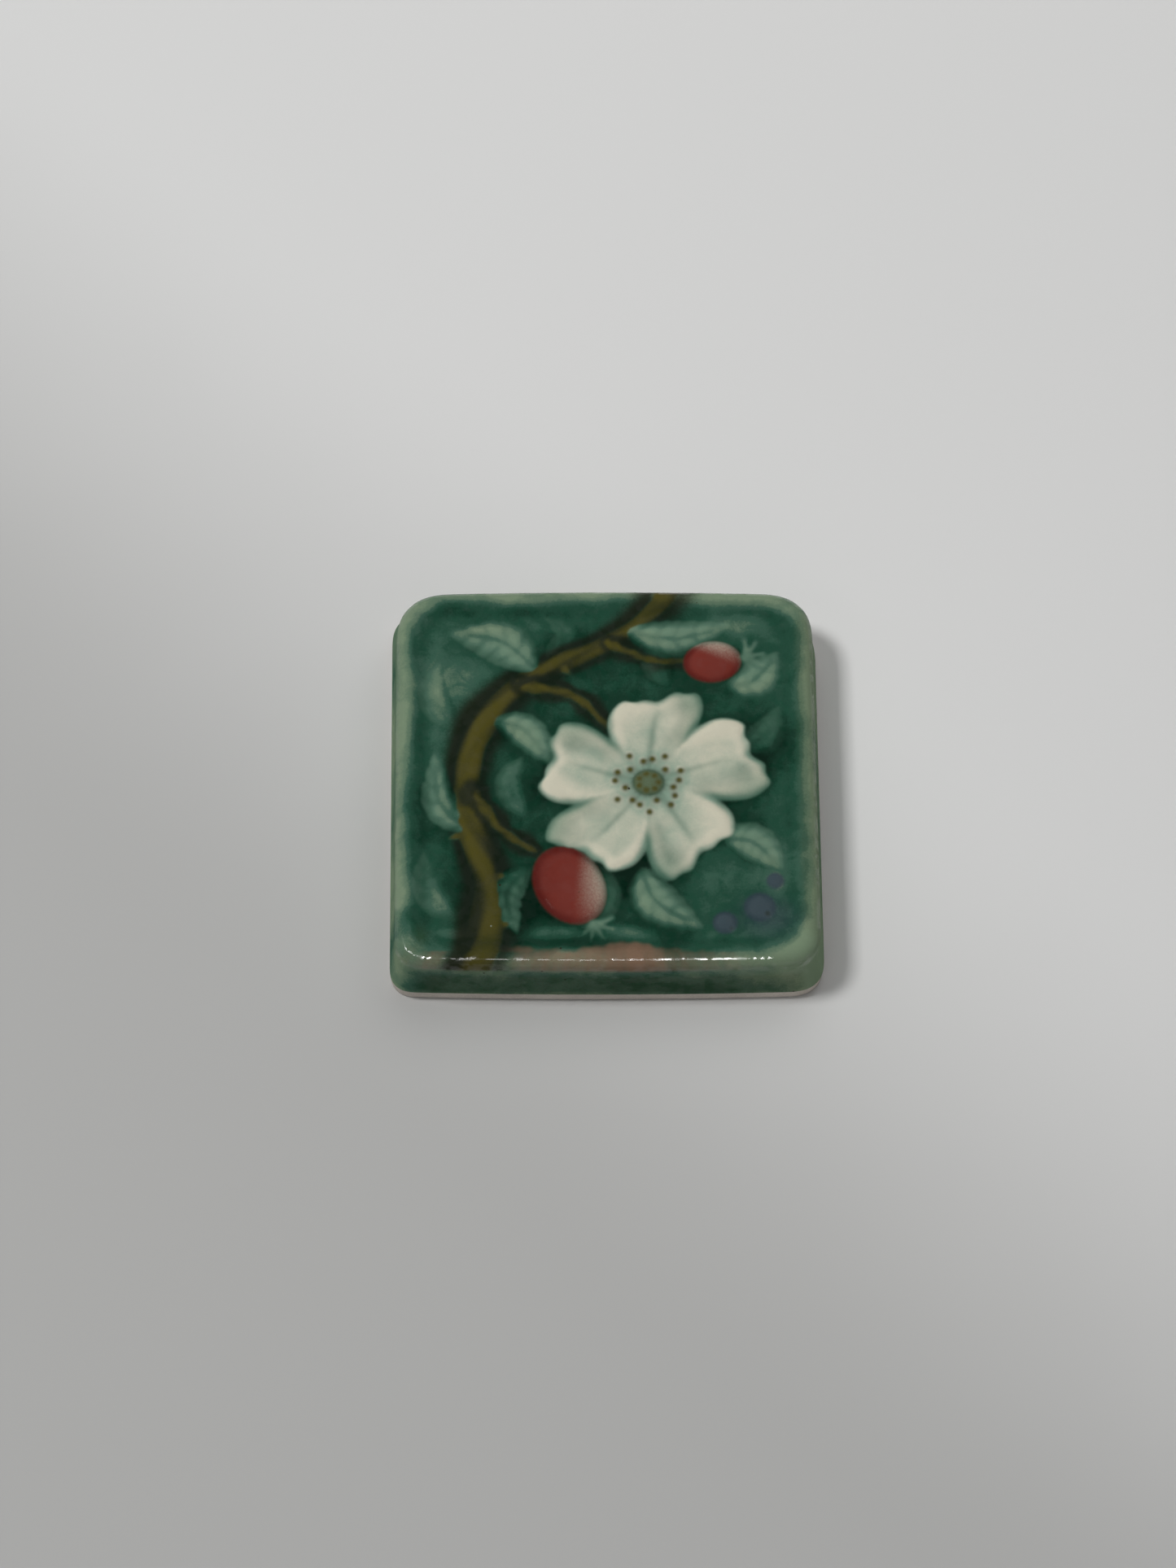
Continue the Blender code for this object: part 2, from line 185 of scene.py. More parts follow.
@dataclass(frozen=True)
class Blank:
    """The rounded square slab that carries the picture."""

    side: float = 0.050999
    rim_height: float = 0.0089
    field_depth: float = 0.0007
    rim_slope: float = 0.0022
    edge_round: float = 0.0017
    wall_draft: float = 0.0006
    wall_hollow: float = 0.00012
    end_bow: float = 0.0004
    bare_band: float = 0.0016
    glaze_step: float = 0.00010
    foot_arris: float = 0.0003
    arris_width: float = 0.0002
    arris_knee: float = 0.3
    field_corner: float = 0.0032
    rim_corners: Corners = (0.0072, 0.0076, 0.0046, 0.0056)
    foot_corners: Corners = (0.0075, 0.0050, 0.0036, 0.0049)
    corner_power: float = 3.0
    edge_steps: int = 7
    wall_steps: int = 8

    @property
    def crest_half(self) -> float:
        """Half the width between the crests of the rim."""
        return self.side / 2 - self.wall_draft - self.edge_round

    @property
    def field_half(self) -> float:
        """Half the width of the field."""
        return self.crest_half - self.rim_slope

    @property
    def unit(self) -> float:
        """One drawing unit, in metres."""
        return self.field_half / DRAWING_HALF

    @property
    def ground(self) -> float:
        """Height of the picture's ground over the back."""
        return self.rim_height - self.field_depth

    @property
    def wall_top(self) -> float:
        """Height at which the rounded edge meets the wall."""
        return self.rim_height - self.edge_round

    @property
    def glaze_end(self) -> float:
        """Height at which the glaze ends above the bare clay."""
        return self.bare_band + self.glaze_step

    @property
    def crest_corners(self) -> Corners:
        """Corner radii along the crest, starting at the far right."""
        return tuple(corner - self.edge_round for corner in self.rim_corners)

    def place(self, u: Array, v: Array, half: float, corners: Corners) -> tuple[Array, Array]:
        """Places points of a square on nested rounded squares.

        Args:
            u: The points' places across the square.
            v: The points' places up the square.
            half: Half the width of the outermost rounded square.
            corners: Its corner radii, from the far right, anticlockwise.

        Returns:
            The points' x and y.
        """
        x, y = u * half, v * half
        far_right, far_left, near_left, near_right = corners
        far, near = np.where(x > 0, far_right, far_left), np.where(x > 0, near_right, near_left)
        corner = np.where(y > 0, far, near)
        over_x, over_y = np.abs(x) - (half - corner), np.abs(y) - (half - corner)
        in_corner = (over_x > 0) & (over_y > 0)
        over_x, over_y = np.maximum(over_x, 0), np.maximum(over_y, 0)
        reach = (over_x**self.corner_power + over_y**self.corner_power) ** (1 / self.corner_power)
        scale = np.maximum(over_x, over_y) / np.where(in_corner, reach, 1.0)
        x = np.where(in_corner, np.sign(x) * (half - corner + over_x * scale), x)
        y = np.where(in_corner, np.sign(y) * (half - corner + over_y * scale), y)
        return x, y - self.end_bow * v * u**2

    def outside_field(self, x: Array, y: Array) -> Array:
        """Measures how far points lie outside the field.

        Args:
            x: The points' x.
            y: The points' y.

        Returns:
            The distance from the field's outline, negative inside it.
        """
        core = self.field_half - self.field_corner
        over_x, over_y = np.abs(x) - core, np.abs(y) - core
        reach = np.hypot(np.maximum(over_x, 0), np.maximum(over_y, 0))
        return reach + np.minimum(np.maximum(over_x, over_y), 0) - self.field_corner

    def rings(self) -> list[Ring]:
        """Lists the side's levels.

        Returns:
            The rings from just outside the crest down to the edge of the back.
        """
        rings = []
        for step in range(1, self.edge_steps + 1):
            angle = math.radians(90) * step / self.edge_steps
            inset = self.edge_round * (1 - math.sin(angle))
            corners = tuple(corner - inset for corner in self.rim_corners)
            height = self.rim_height - self.edge_round * (1 - math.cos(angle))
            rings.append(Ring(self.side / 2 - self.wall_draft - inset, corners, height))
        for step in range(1, self.wall_steps + 1):
            down = step / self.wall_steps
            hollow = self.wall_hollow * math.sin(math.pi * down)
            half = self.side / 2 - self.wall_draft * (1 - down) - hollow
            pairs = zip(self.rim_corners, self.foot_corners)
            corners = tuple(top + (foot - top) * down for top, foot in pairs)
            rings.append(Ring(half, corners, self.wall_top + (self.glaze_end - self.wall_top) * down))
        arris, width, knee = self.foot_arris, self.arris_width, self.arris_knee
        for inset, height in ((0, self.bare_band), (0, arris), (knee * width, knee * arris), (width, 0)):
            inset += self.glaze_step
            corners = tuple(corner - inset for corner in self.foot_corners)
            rings.append(Ring(self.side / 2 - inset, corners, height, bare=height < self.bare_band))
        return rings


class Canvas:
    """The relief, the stains and the glaze's added depth over the points of the face."""

    groove: float = 0.00010
    groove_width: float = 0.5
    grooved: Point = (0.0001, 0.0006)
    cover_edge: Point = (-0.05, 0.45)
    overlap: float = 0.00005
    thinning: float = 0.6

    def __init__(self, x: Array, y: Array) -> None:
        """Starts a bare canvas.

        Args:
            x: The points' places across, in drawing units.
            y: The points' places up the picture, in drawing units.
        """
        self.x, self.y = x, y
        self.rise, self.depth = np.zeros(x.size), np.zeros(x.size)
        self.stains = {stain: np.zeros(x.size) for stain in Stain}

    def near(self, path: Array, reach: float) -> Array:
        """Finds the points that lie near a path.

        Args:
            path: The path's corners, in drawing units.
            reach: How far outside the path's box they may lie.

        Returns:
            Which points of the canvas they are.
        """
        low, high = path.min(axis=0) - reach, path.max(axis=0) + reach
        across = (self.x > low[0]) & (self.x < high[0])
        return np.flatnonzero(across & (self.y > low[1]) & (self.y < high[1]))

    def around(self, centre: Point, reach: float) -> tuple[Array, Array, Array]:
        """Which points lie within reach of a centre, and how far across and up from it."""
        points = self.near(np.array([centre]), reach)
        return points, self.x[points] - centre[0], self.y[points] - centre[1]

    def beside(self, path: Array, reach: float) -> tuple[Array, Array, Array]:
        """Measures the points near a path against it.

        Args:
            path: The path's corners, in drawing units.
            reach: How far outside the path's box they may lie.

        Returns:
            Which points of the canvas they are, each one's share of the way along the path, and
            its distance to the left of it.
        """
        points = self.near(path, reach)
        steps = np.diff(path, axis=0)
        lengths = np.hypot(steps[:, 0], steps[:, 1])
        starts = np.concatenate([[0.0], np.cumsum(lengths)])
        nearest = np.full(len(points), np.inf)
        share, side = np.zeros(len(points)), np.zeros(len(points))
        for corner, step, length, start in zip(path, steps, lengths, starts):
            ahead_x, ahead_y = step / length
            from_x, from_y = self.x[points] - corner[0], self.y[points] - corner[1]
            ahead = np.clip(from_x * ahead_x + from_y * ahead_y, 0, length)
            distance = np.hypot(from_x - ahead * ahead_x, from_y - ahead * ahead_y)
            left = ahead_x * from_y - ahead_y * from_x
            closer = distance < nearest
            nearest = np.where(closer, distance, nearest)
            share = np.where(closer, (start + ahead) / starts[-1], share)
            side = np.where(closer, np.copysign(distance, left), side)
        return points, share, side

    def lay(self, points: Array, height: Array, inside: Array, stains: dict[Stain, Array | float],
            ramp: float = 1.7) -> None:
        """Lays a form on the canvas. What is higher stays in front.

        Args:
            points: Which points of the canvas the form may touch.
            height: The form's height at each of them, in metres over the ground.
            inside: How far inside the form's outline each of them lies, in drawing units.
            stains: The form's colours. Any other colour is covered by it.
            ramp: The width over which the form's edge rises.
        """
        under = self.rise[points]
        full = smooth(0, ramp, inside)
        crease = self.groove * smooth(*self.grooved, under) * bump(np.maximum(-inside, 0), self.groove_width)
        under = np.where(inside <= 0, under - crease, under)
        over = np.maximum(under, height * full + under * (1 - full))
        self.rise[points] = np.where(inside > 0, over, under)
        cover = smooth(*self.cover_edge, inside) * (inside > 0) * (height > under - self.overlap)
        self.depth[points] *= 1 - self.thinning * cover
        for stain, layer in self.stains.items():
            layer[points] = layer[points] * (1 - cover) + cover * stains.get(stain, 0.0)

    def wash(self, points: Array, stain: Stain, strength: Array) -> None:
        """Adds a colour where it is stronger than what is there."""
        layer = self.stains[stain]
        layer[points] = np.maximum(layer[points], strength)


class Motif(Protocol):
    """Anything that the picture is made of."""

    def carve(self, canvas: Canvas) -> None:
        """Raises and colours the motif on the canvas."""


@dataclass(frozen=True)
class Ground:
    """The field behind the spray, with a low rosy bank at the near rim and a blue corner."""

    swell: float = 0.00014
    swell_waves: tuple[Point, Point] = ((0.21, 0.7), (0.17, -0.4))
    ruffle: float = 0.35
    ruffle_wave: Wave = (0.55, -0.4, 2.0)
    bank: float = 0.00045
    bank_top: float = -21.6
    bank_slope: float = 0.9
    bank_fade: Point = (22.0, 8.0)
    bank_waves: tuple[Wave, ...] = ((0.8, 0.27, 2.2), (0.4, 0.6, 0.0))
    bank_thinning: float = 0.06
    blush_edge: float = 0.6
    blush_waves: tuple[Wave, ...] = ((0.03, 2.3, 0.0), (0.03, 5.1, 1.0))
    blush_line_waves: tuple[Wave, ...] = ((0.15, 1.7, 0.0), (0.10, 3.9, 1.0))
    blush_line: tuple[Point, ...] = (
        (-24, -27), (-20, -24.7), (-16, -23.6), (-12, -23.4), (-8, -24.0), (-4.5, -24.2), (-1, -23.4),
        (3, -22.8), (5.5, -23.6), (8, -24.0), (14, -24.4), (18, -25), (22, -28),
    )
    blush: tuple[Point, ...] = (
        (-22.5, 0.2), (-19.5, 0.64), (-16, 0.54), (-13.5, 0.62), (-10, 0.56), (-6, 0.62), (-2, 0.66),
        (1, 0.76), (3, 0.90), (5, 0.82), (7, 0.54), (9, 0.46), (14, 0.34), (18, 0.1),
    )
    blue: float = 0.6
    blue_spot: tuple[Point, Point] = ((19.5, -19.5), (4.8, 3.6))
    tone_squash: float = 0.7
    tones: tuple[tuple[Point, float, float], ...] = (
        ((-9.0, -17.5), 7.0, 0.30),
        ((-13.0, -23.0), 5.0, 0.22),
        ((-3.0, -23.5), 4.0, 0.20),
        ((9.0, -23.5), 4.0, 0.14),
        ((16.0, -12.0), 7.0, -0.24),
        ((7.0, -18.0), 5.0, -0.16),
        ((-19.0, 12.0), 7.0, -0.20),
        ((-4.0, 9.0), 6.0, 0.10),
        ((3.0, 12.5), 6.0, -0.14),
        ((18.0, 4.0), 6.0, 0.14),
        ((-20.5, -9.0), 5.0, 0.12),
        ((14.0, 20.0), 6.0, -0.10),
    )

    def carve(self, canvas: Canvas) -> None:
        """Raises the swells and the bank, and washes in the coloured borders.

        Args:
            canvas: The canvas to carve.
        """
        x, y = canvas.x, canvas.y
        (rate_x, phase_x), (rate_y, phase_y) = self.swell_waves
        canvas.rise += self.swell * (np.sin(rate_x * x + phase_x) * np.cos(rate_y * y + phase_y) + 1.0)
        rate_x, rate_y, phase = self.ruffle_wave
        canvas.rise += self.ruffle * self.swell * np.sin(rate_x * x + rate_y * y + phase)
        for centre, size, amount in self.tones:
            canvas.depth += amount * spot(x, y, centre, (size, self.tone_squash * size))
        top = self.bank_top + ripple(x, *self.bank_waves)
        bank = smooth(top + self.bank_slope, top - self.bank_slope, y) * smooth(*self.bank_fade, x)
        canvas.rise += self.bank * bank
        canvas.depth -= self.bank_thinning * bank
        line = line_at(x, self.blush_line) + ripple(x, *self.blush_line_waves)
        below = smooth(line + self.blush_edge, line - self.blush_edge, y)
        everywhere = np.arange(x.size)
        canvas.wash(everywhere, Stain.ROSE, below * self.blush_at(x))
        canvas.wash(everywhere, Stain.BLUE, self.blue * spot(x, y, *self.blue_spot))

    def blush_at(self, x: Array) -> Array:
        """The strength of the rosy bank's colour along the near rim."""
        return line_at(x, self.blush) + ripple(x, *self.blush_waves)


@dataclass(frozen=True)
class Branch:
    """A knotty stick whose width and height change along its route."""

    route: tuple[Point, ...]
    widths: tuple[float, ...]
    shares: tuple[float, ...]
    rise: float = 0.00090
    bark: float = 0.00005
    shade: float = 1.3
    phase: float = 0.0
    knots: Point = (0.09, 27)
    nicks: Wave = (0.05, 61, 1.0)
    flank: float = 0.3
    roundness: float = 0.7
    grain_lines: float = 4.5
    grain_sway: Point = (3.0, 13)
    shade_sway: Point = (0.45, 15)
    shade_left: float = 0.95
    shade_right: float = 0.8
    streak_ends: Point = (-0.3, 1.0)
    blotches: Point = (11, 1.6)
    edge_ends: Point = (0.35, 1.0)
    edge_sway: Wave = (0.25, 17, 0.0)

    def carve(self, canvas: Canvas) -> None:
        """Raises the stick with its bark, between two soft dark shades.

        Args:
            canvas: The canvas to carve.
        """
        points, along, side = canvas.beside(curve(self.route, 60), max(self.widths) + 2 * self.shade)
        half = spread(along, self.widths) / 2
        half = half * (1 + ripple(along, (*self.knots, self.phase), self.nicks))
        tall = self.rise * spread(along, self.shares)
        across = side / half
        belly = np.clip(1 - across**2, 0, 1)
        grain = np.sin(self.grain_lines * across + ripple(along, (*self.grain_sway, self.phase)))
        bulge = self.flank + (1 - self.flank) * belly**self.roundness
        height = tall * bulge + self.bark * grain * belly
        shade_width = self.shade * (1 + ripple(along, (*self.shade_sway, self.phase)))
        shade = bump(np.maximum(np.abs(side) - half, 0), shade_width)
        canvas.wash(points, Stain.UMBER, np.where(side > 0, self.shade_left, self.shade_right) * shade)
        streak = smooth(*self.streak_ends, -grain)
        blotches_along, blotches_across = self.blotches
        blotch = 0.5 + 0.5 * np.sin(blotches_along * along + blotches_across * across + self.phase)
        edges = smooth(*self.edge_ends, np.abs(across + ripple(along, self.edge_sway)))
        stains = {
            Stain.AMBER: 1.0 - 0.1 * streak,
            Stain.UMBER: np.clip(0.30 * streak + 0.45 * edges + 0.30 * blotch, 0, 1),
        }
        canvas.lay(points, height, (1 - np.abs(across)) * half, stains, ramp=1.2)


@dataclass(frozen=True)
class Thorn:
    """A small hooked spike on the branch."""

    foot: Point
    degrees: float
    length: float = 1.7
    width: float = 1.4
    rise: float = 0.00063

    def carve(self, canvas: Canvas) -> None:
        """Raises the spike.

        Args:
            canvas: The canvas to carve.
        """
        tip = on_oval(self.foot, (self.length, self.length), math.radians(self.degrees))
        points, along, side = canvas.beside(np.array([self.foot, tip]), self.width)
        left = np.clip(1 - along, 0.02, 1)
        inside = self.width / 2 * left**1.2 - np.abs(side)
        canvas.lay(points, self.rise * left**0.6, inside, {Stain.AMBER: 0.9}, ramp=0.6)


@dataclass(frozen=True)
class Strand:
    """A thin tapering thread, such as a filament or a dry sepal."""

    route: tuple[Point, ...]
    width: float
    rise: float
    stains: dict[Stain, float]

    def carve(self, canvas: Canvas) -> None:
        """Raises the thread.

        Args:
            canvas: The canvas to carve.
        """
        points, along, side = canvas.beside(curve(self.route, 16), 2 * self.width)
        half = self.width / 2 * (1.1 - 0.5 * along)
        round_over = np.sqrt(np.clip(1 - (side / half) ** 2, 0, 1))
        canvas.lay(points, self.rise * round_over, half - np.abs(side), dict(self.stains), ramp=0.3)


@dataclass(frozen=True)
class Leaf:
    """A serrated blade with a groove for its midrib and side veins."""

    route: tuple[Point, ...]
    width: float
    rise: float = 0.00066
    paleness: float = 0.60
    detail: float = 0.85
    shoulder: float = 0.8
    fullness: float = 0.85
    teeth: int = 7
    tooth_depth: float = 0.14
    tooth_start: float = 0.15
    tooth_slant: float = 3.0
    tooth_level: float = 0.35
    toothed_foot: Point = (0.05, 0.25)
    toothed_tip: Point = (1.0, 0.8)
    flank: float = 0.30
    dome: float = 2.2
    wave: Wave = (0.15, 5, 1.5)
    veins: int = 6
    vein_slant: float = 0.8
    vein_depth: float = 0.24
    vein_width: float = 0.17
    vein_foot: Point = (0.05, 0.25)
    vein_tip: Point = (1.0, 0.7)
    veined: Point = (0.05, 0.15)
    midrib_depth: float = 0.45
    midrib_width: float = 0.36
    midrib_tip: Point = (1.0, 0.7)
    lit_least: float = 0.25
    lit_ends: Point = (-0.9, 0.8)

    def carve(self, canvas: Canvas) -> None:
        """Raises the blade and cuts its veins.

        Args:
            canvas: The canvas to carve.
        """
        points, along, side = canvas.beside(curve(self.route), self.width)
        half = self.width / 2 * np.clip(np.sin(math.pi * along**self.shoulder), 0, 1) ** self.fullness
        tooth = np.mod(self.teeth * along + self.tooth_start, 1)
        saw = np.minimum(tooth, self.tooth_slant * (1 - tooth)) - self.tooth_level
        toothed = smooth(*self.toothed_foot, along) * smooth(*self.toothed_tip, along)
        half = np.maximum(half * (1 + self.tooth_depth * self.detail * saw * toothed), 0.001)
        across = np.minimum(np.abs(side) / half, 1.5)
        swing, wave_along, wave_across = self.wave
        blade = self.flank + (1 - self.flank) * np.clip(1 - across**self.dome, 0, 1)
        blade = blade + swing * np.sin(wave_along * along + wave_across * side / half)
        midrib = self.midrib_depth * bump(side, self.midrib_width) * smooth(*self.midrib_tip, along)
        vein = np.mod(self.veins * along - self.vein_slant * across, 1) - 0.5
        veined = smooth(*self.vein_foot, across) * smooth(*self.vein_tip, across)
        veined = veined * smooth(*self.veined, along)
        cuts = self.detail * (midrib + self.vein_depth * bump(vein, self.vein_width) * veined)
        lit = smooth(*self.lit_ends, side / half + 0.6 * np.sin(4 * along + self.width))
        lit = self.lit_least + (1 - self.lit_least) * lit
        stains = {Stain.PALE: self.paleness * lit * (1 - 0.9 * cuts)}
        canvas.lay(points, self.rise * (blade - cuts), half - np.abs(side), stains)


@dataclass(frozen=True)
class Mound:
    """An egg-shaped mound, such as a fruit, a berry or a boss."""

    centre: Point
    length: float
    width: float
    degrees: float
    rise: float
    stains: dict[Stain, float]
    base: float = 0.15
    ramp: float = 1.3
    cheek: float = 0.0
    cheek_turn: Point = (0.8, 0.45)
    cheek_red: Point = (0.60, 0.04)
    cheek_white: float = 0.95
    cheek_ends: Point = (-0.5, 0.5)
    cheek_rim: Point = (1.05, 0.75)
    roundness: float = 0.7

    def carve(self, canvas: Canvas) -> None:
        """Raises the mound. Its cheek, if it has one, fades from red to white.

        Args:
            canvas: The canvas to carve.
        """
        points, x, y = canvas.around(self.centre, max(self.length, self.width))
        ahead, side = turned(x, y, math.radians(self.degrees))
        ahead, side = ahead / (self.length / 2), side / (self.width / 2)
        out = np.hypot(ahead, side)
        crown = self.base + (1 - self.base) * np.clip(1 - out**2, 0, 1) ** self.roundness
        stains = dict(self.stains)
        if self.cheek > 0:
            (sideways, forwards), (slope, start) = self.cheek_turn, self.cheek_red
            turn = sideways * side + forwards * ahead + 0.10 * np.sin(4 * ahead + 2 * side)
            stains[Stain.RED] = 1 - self.cheek * np.clip(slope * turn + start, 0, 1)
            white = smooth(*self.cheek_ends, turn) * smooth(*self.cheek_rim, out)
            stains[Stain.WHITE] = self.cheek_white * self.cheek * white
        inside = (1 - out) * min(self.length, self.width) / 2
        canvas.lay(points, self.rise * crown, inside, stains, ramp=self.ramp)


@dataclass(frozen=True)
class Hip:
    """A rose hip with the dry sepals at its tip."""

    centre: Point
    length: float
    width: float
    degrees: float
    rise: float = 0.00105
    cheek: float = 0.95
    sepal_turns: tuple[float, ...] = (-1.1, -0.5, 0.1, 0.7, 1.2)
    sepal_width: float = 1.15
    sepal_foot: float = 1.4
    sepal_tip: float = 1.3
    sepal_curl: float = 1.3

    def carve(self, canvas: Canvas) -> None:
        """Raises the sepals, then the fruit over their feet.

        Args:
            canvas: The canvas to carve.
        """
        angle = math.radians(self.degrees)
        tip = on_oval(self.centre, (self.length / 2, self.length / 2), angle)
        dry = {Stain.PALE: 0.6, Stain.AMBER: 0.3}
        for turn in self.sepal_turns:
            middle = on_oval(tip, (self.sepal_foot, self.sepal_foot), angle + turn)
            end = on_oval(middle, (self.sepal_tip, self.sepal_tip), angle + self.sepal_curl * turn)
            Strand((tip, middle, end), self.sepal_width, 0.5 * self.rise, dry).carve(canvas)
        fruit = Mound(self.centre, self.length, self.width, self.degrees, self.rise, {}, cheek=self.cheek)
        fruit.carve(canvas)


@dataclass(frozen=True)
class Berry:
    """A round blue berry with a small crown."""

    centre: Point
    size: float
    rise: float = 0.00075
    crown: float = 0.3
    crown_place: float = 0.22

    def carve(self, canvas: Canvas) -> None:
        """Raises the berry and its crown.

        Args:
            canvas: The canvas to carve.
        """
        Mound(self.centre, self.size, self.size, 0, self.rise, {Stain.BLUE: 0.95}).carve(canvas)
        shift = self.crown_place * self.size
        place, size = (self.centre[0] + shift, self.centre[1] - shift), self.crown * self.size
        stains = {Stain.BLUE: 0.8, Stain.UMBER: 0.6}
        Mound(place, size, size, 0, 0.95 * self.rise, stains, base=0.8, ramp=0.2).carve(canvas)


@dataclass(frozen=True)
class Rose:
    """An open wild rose, seen a little from the side."""

    centre: Point = (5.2, -1.2)
    turn: float = math.radians(20)
    petals: int = 5
    petal_length: float = 15.0
    petal_width: float = 17.0
    petal_skew: float = 0.10
    petal_taper: float = 0.66
    petal_lobes: float = 4.5
    petal_fullness: float = 0.54
    notch: Point = (0.12, 0.2)
    notch_shift: float = 0.06
    scallop: Wave = (0.018, 1.9, 5)
    petal_foot: float = 0.55
    foot_ends: Point = (0.0, 0.8)
    dish: float = 0.28
    dish_ends: Point = (0.2, 0.7)
    lean: float = 0.24
    lean_ends: Point = (0.25, 0.8)
    rolled_edge: float = 0.13
    roll: Point = (1.5, 0.8)
    crease: float = 0.12
    crease_width: float = 0.45
    crease_foot: Point = (0.1, 0.3)
    crease_tip: Point = (1.0, 0.6)
    folds: float = 0.05
    fold_ends: Point = (0.2, 0.8)
    shaded_side: Point = (0.15, -0.95)
    shaded_ends: Point = (0.15, 0.6)
    green_root: Point = (0.42, 0.12)
    view_turn: float = math.radians(34)
    view_squash: float = 0.87
    rise: float = 0.00078
    boss: Point = (4.4, 4.0)
    boss_rise: float = 0.00100
    styles: int = 7
    style_ring: Point = (1.25, 1.15)
    style_size: float = 0.95
    stamens: int = 19
    stamen_foot: Point = (1.4, 1.3)
    stamen_middle: Point = (2.6, 2.4)
    stamen_width: float = 0.5
    pollen_size: float = 1.3

    def carve(self, canvas: Canvas) -> None:
        """Raises the petals, the stamens and the boss.

        Args:
            canvas: The canvas to carve.
        """
        for number in range(self.petals):
            angle = self.turn + number * 2 * math.pi / self.petals
            length = self.petal_length * (1 + 0.05 * math.sin(3 * number + 1))
            width = self.petal_width * (1 + 0.06 * math.cos(2 * number))
            self.carve_petal(canvas, angle, length, width)
        self.carve_stamens(canvas)
        stains = {Stain.AMBER: 0.85, Stain.PALE: 0.45}
        Mound(self.centre, *self.boss, 0, self.boss_rise, stains, base=0.6, ramp=0.6).carve(canvas)
        for number in range(self.styles):
            place = on_oval(self.centre, self.style_ring, 2 * math.pi * number / self.styles)
            self.bead(place, self.style_size, 1.06 * self.boss_rise, 1.0, 0.8).carve(canvas)

    def bead(self, place: Point, size: float, rise: float, amber: float, base: float) -> Mound:
        """A small amber bead: the tip of a style or the head of a stamen."""
        return Mound(place, size, size, 0, rise, {Stain.AMBER: amber}, base=base, ramp=0.3)

    def carve_petal(self, canvas: Canvas, angle: float, length: float, width: float) -> None:
        """Raises a broad petal with a shallow notch, which leans over the one beside it.

        Args:
            canvas: The canvas to carve.
            angle: The petal's direction from the flower's centre.
            length: Its length from the centre to its lobes.
            width: Its greatest width.
        """
        points, x, y = canvas.around(self.centre, 1.3 * length)
        level, steep = turned(x, y, self.view_turn)
        x, y = turned(level, steep / self.view_squash, -self.view_turn)
        ahead, side = turned(x, y, angle)
        side = side + self.petal_skew * length * np.clip(ahead / length, 0, 1.3) ** 2
        notch_depth, notch_width = self.notch
        notch = notch_depth * bump(side - self.notch_shift * width, notch_width * width)
        swing, rate, turns = self.scallop
        along = ahead / (length * (1 - notch)) * (1 + swing * np.sin(rate * side + turns * angle))
        share = np.clip(along, 0.0001, 1)
        half = share**self.petal_taper * np.sqrt(np.clip(1 - share**self.petal_lobes, 0, 1))
        half = np.maximum(self.petal_fullness * width * half, 0.001)
        across = side / half
        edge = np.minimum(half - np.abs(side), (1 - along) * length)
        body = self.petal_foot + (1 - self.petal_foot) * smooth(*self.foot_ends, along)
        dish = self.dish * np.clip(1 - across**2, 0, 1) * smooth(*self.dish_ends, along)
        lean = self.lean * across * smooth(*self.lean_ends, along)
        roll_inset, roll_width = self.roll
        rolled = self.rolled_edge * bump(edge - roll_inset, roll_width)
        crease = self.crease * bump(side, self.crease_width)
        crease = crease * smooth(*self.crease_foot, along) * smooth(*self.crease_tip, along)
        folds = self.folds * np.sin(9 * across + 3 * angle) * smooth(*self.fold_ends, along)
        height = self.rise * (body - dish + lean + rolled - crease + folds)
        depth = smooth(-0.2, 1.6, edge + 0.3 * np.sin(1.3 * ahead + side))
        fade = smooth(*self.shaded_side, across + 0.15 * np.sin(0.9 * ahead))
        fade = fade * smooth(*self.shaded_ends, along)
        root = smooth(*self.green_root, along)
        hollow = np.clip(0.5 - 8 * folds, 0, 1) * smooth(0.25, 0.5, along) * smooth(1.0, 0.75, along)
        white = (0.55 + 0.45 * depth) * (1 - 0.55 * fade) * (1 - 2.5 * crease) * (1 - 0.25 * root)
        stains = {
            Stain.WHITE: white * (1 - 0.18 * hollow),
            Stain.PALE: np.clip(0.8 * (1 - depth) + 0.7 * fade + 0.4 * root, 0, 1),
        }
        within = np.where((along > 0) & (along < 1), edge, -1.0)
        canvas.lay(points, height, within, stains)

    def carve_stamens(self, canvas: Canvas) -> None:
        """Raises a ring of filaments, each with a pollen head.

        Args:
            canvas: The canvas to carve.
        """
        thread = {Stain.PALE: 0.5, Stain.WHITE: 0.2, Stain.AMBER: 0.2}
        for number in range(self.stamens):
            angle = 2 * math.pi * number / self.stamens + 0.1
            reach = 3.8 + 0.9 * math.sin(2.4 * number)
            foot = on_oval(self.centre, self.stamen_foot, angle)
            middle = on_oval(self.centre, self.stamen_middle, angle + 0.1)
            head = on_oval(self.centre, (reach, 0.9 * reach), angle)
            Strand((foot, middle, head), self.stamen_width, 0.95 * self.rise, thread).carve(canvas)
            self.bead(head, self.pollen_size, 1.15 * self.rise, 0.95, 0.7).carve(canvas)


Blade = tuple[tuple[Point, ...], float]


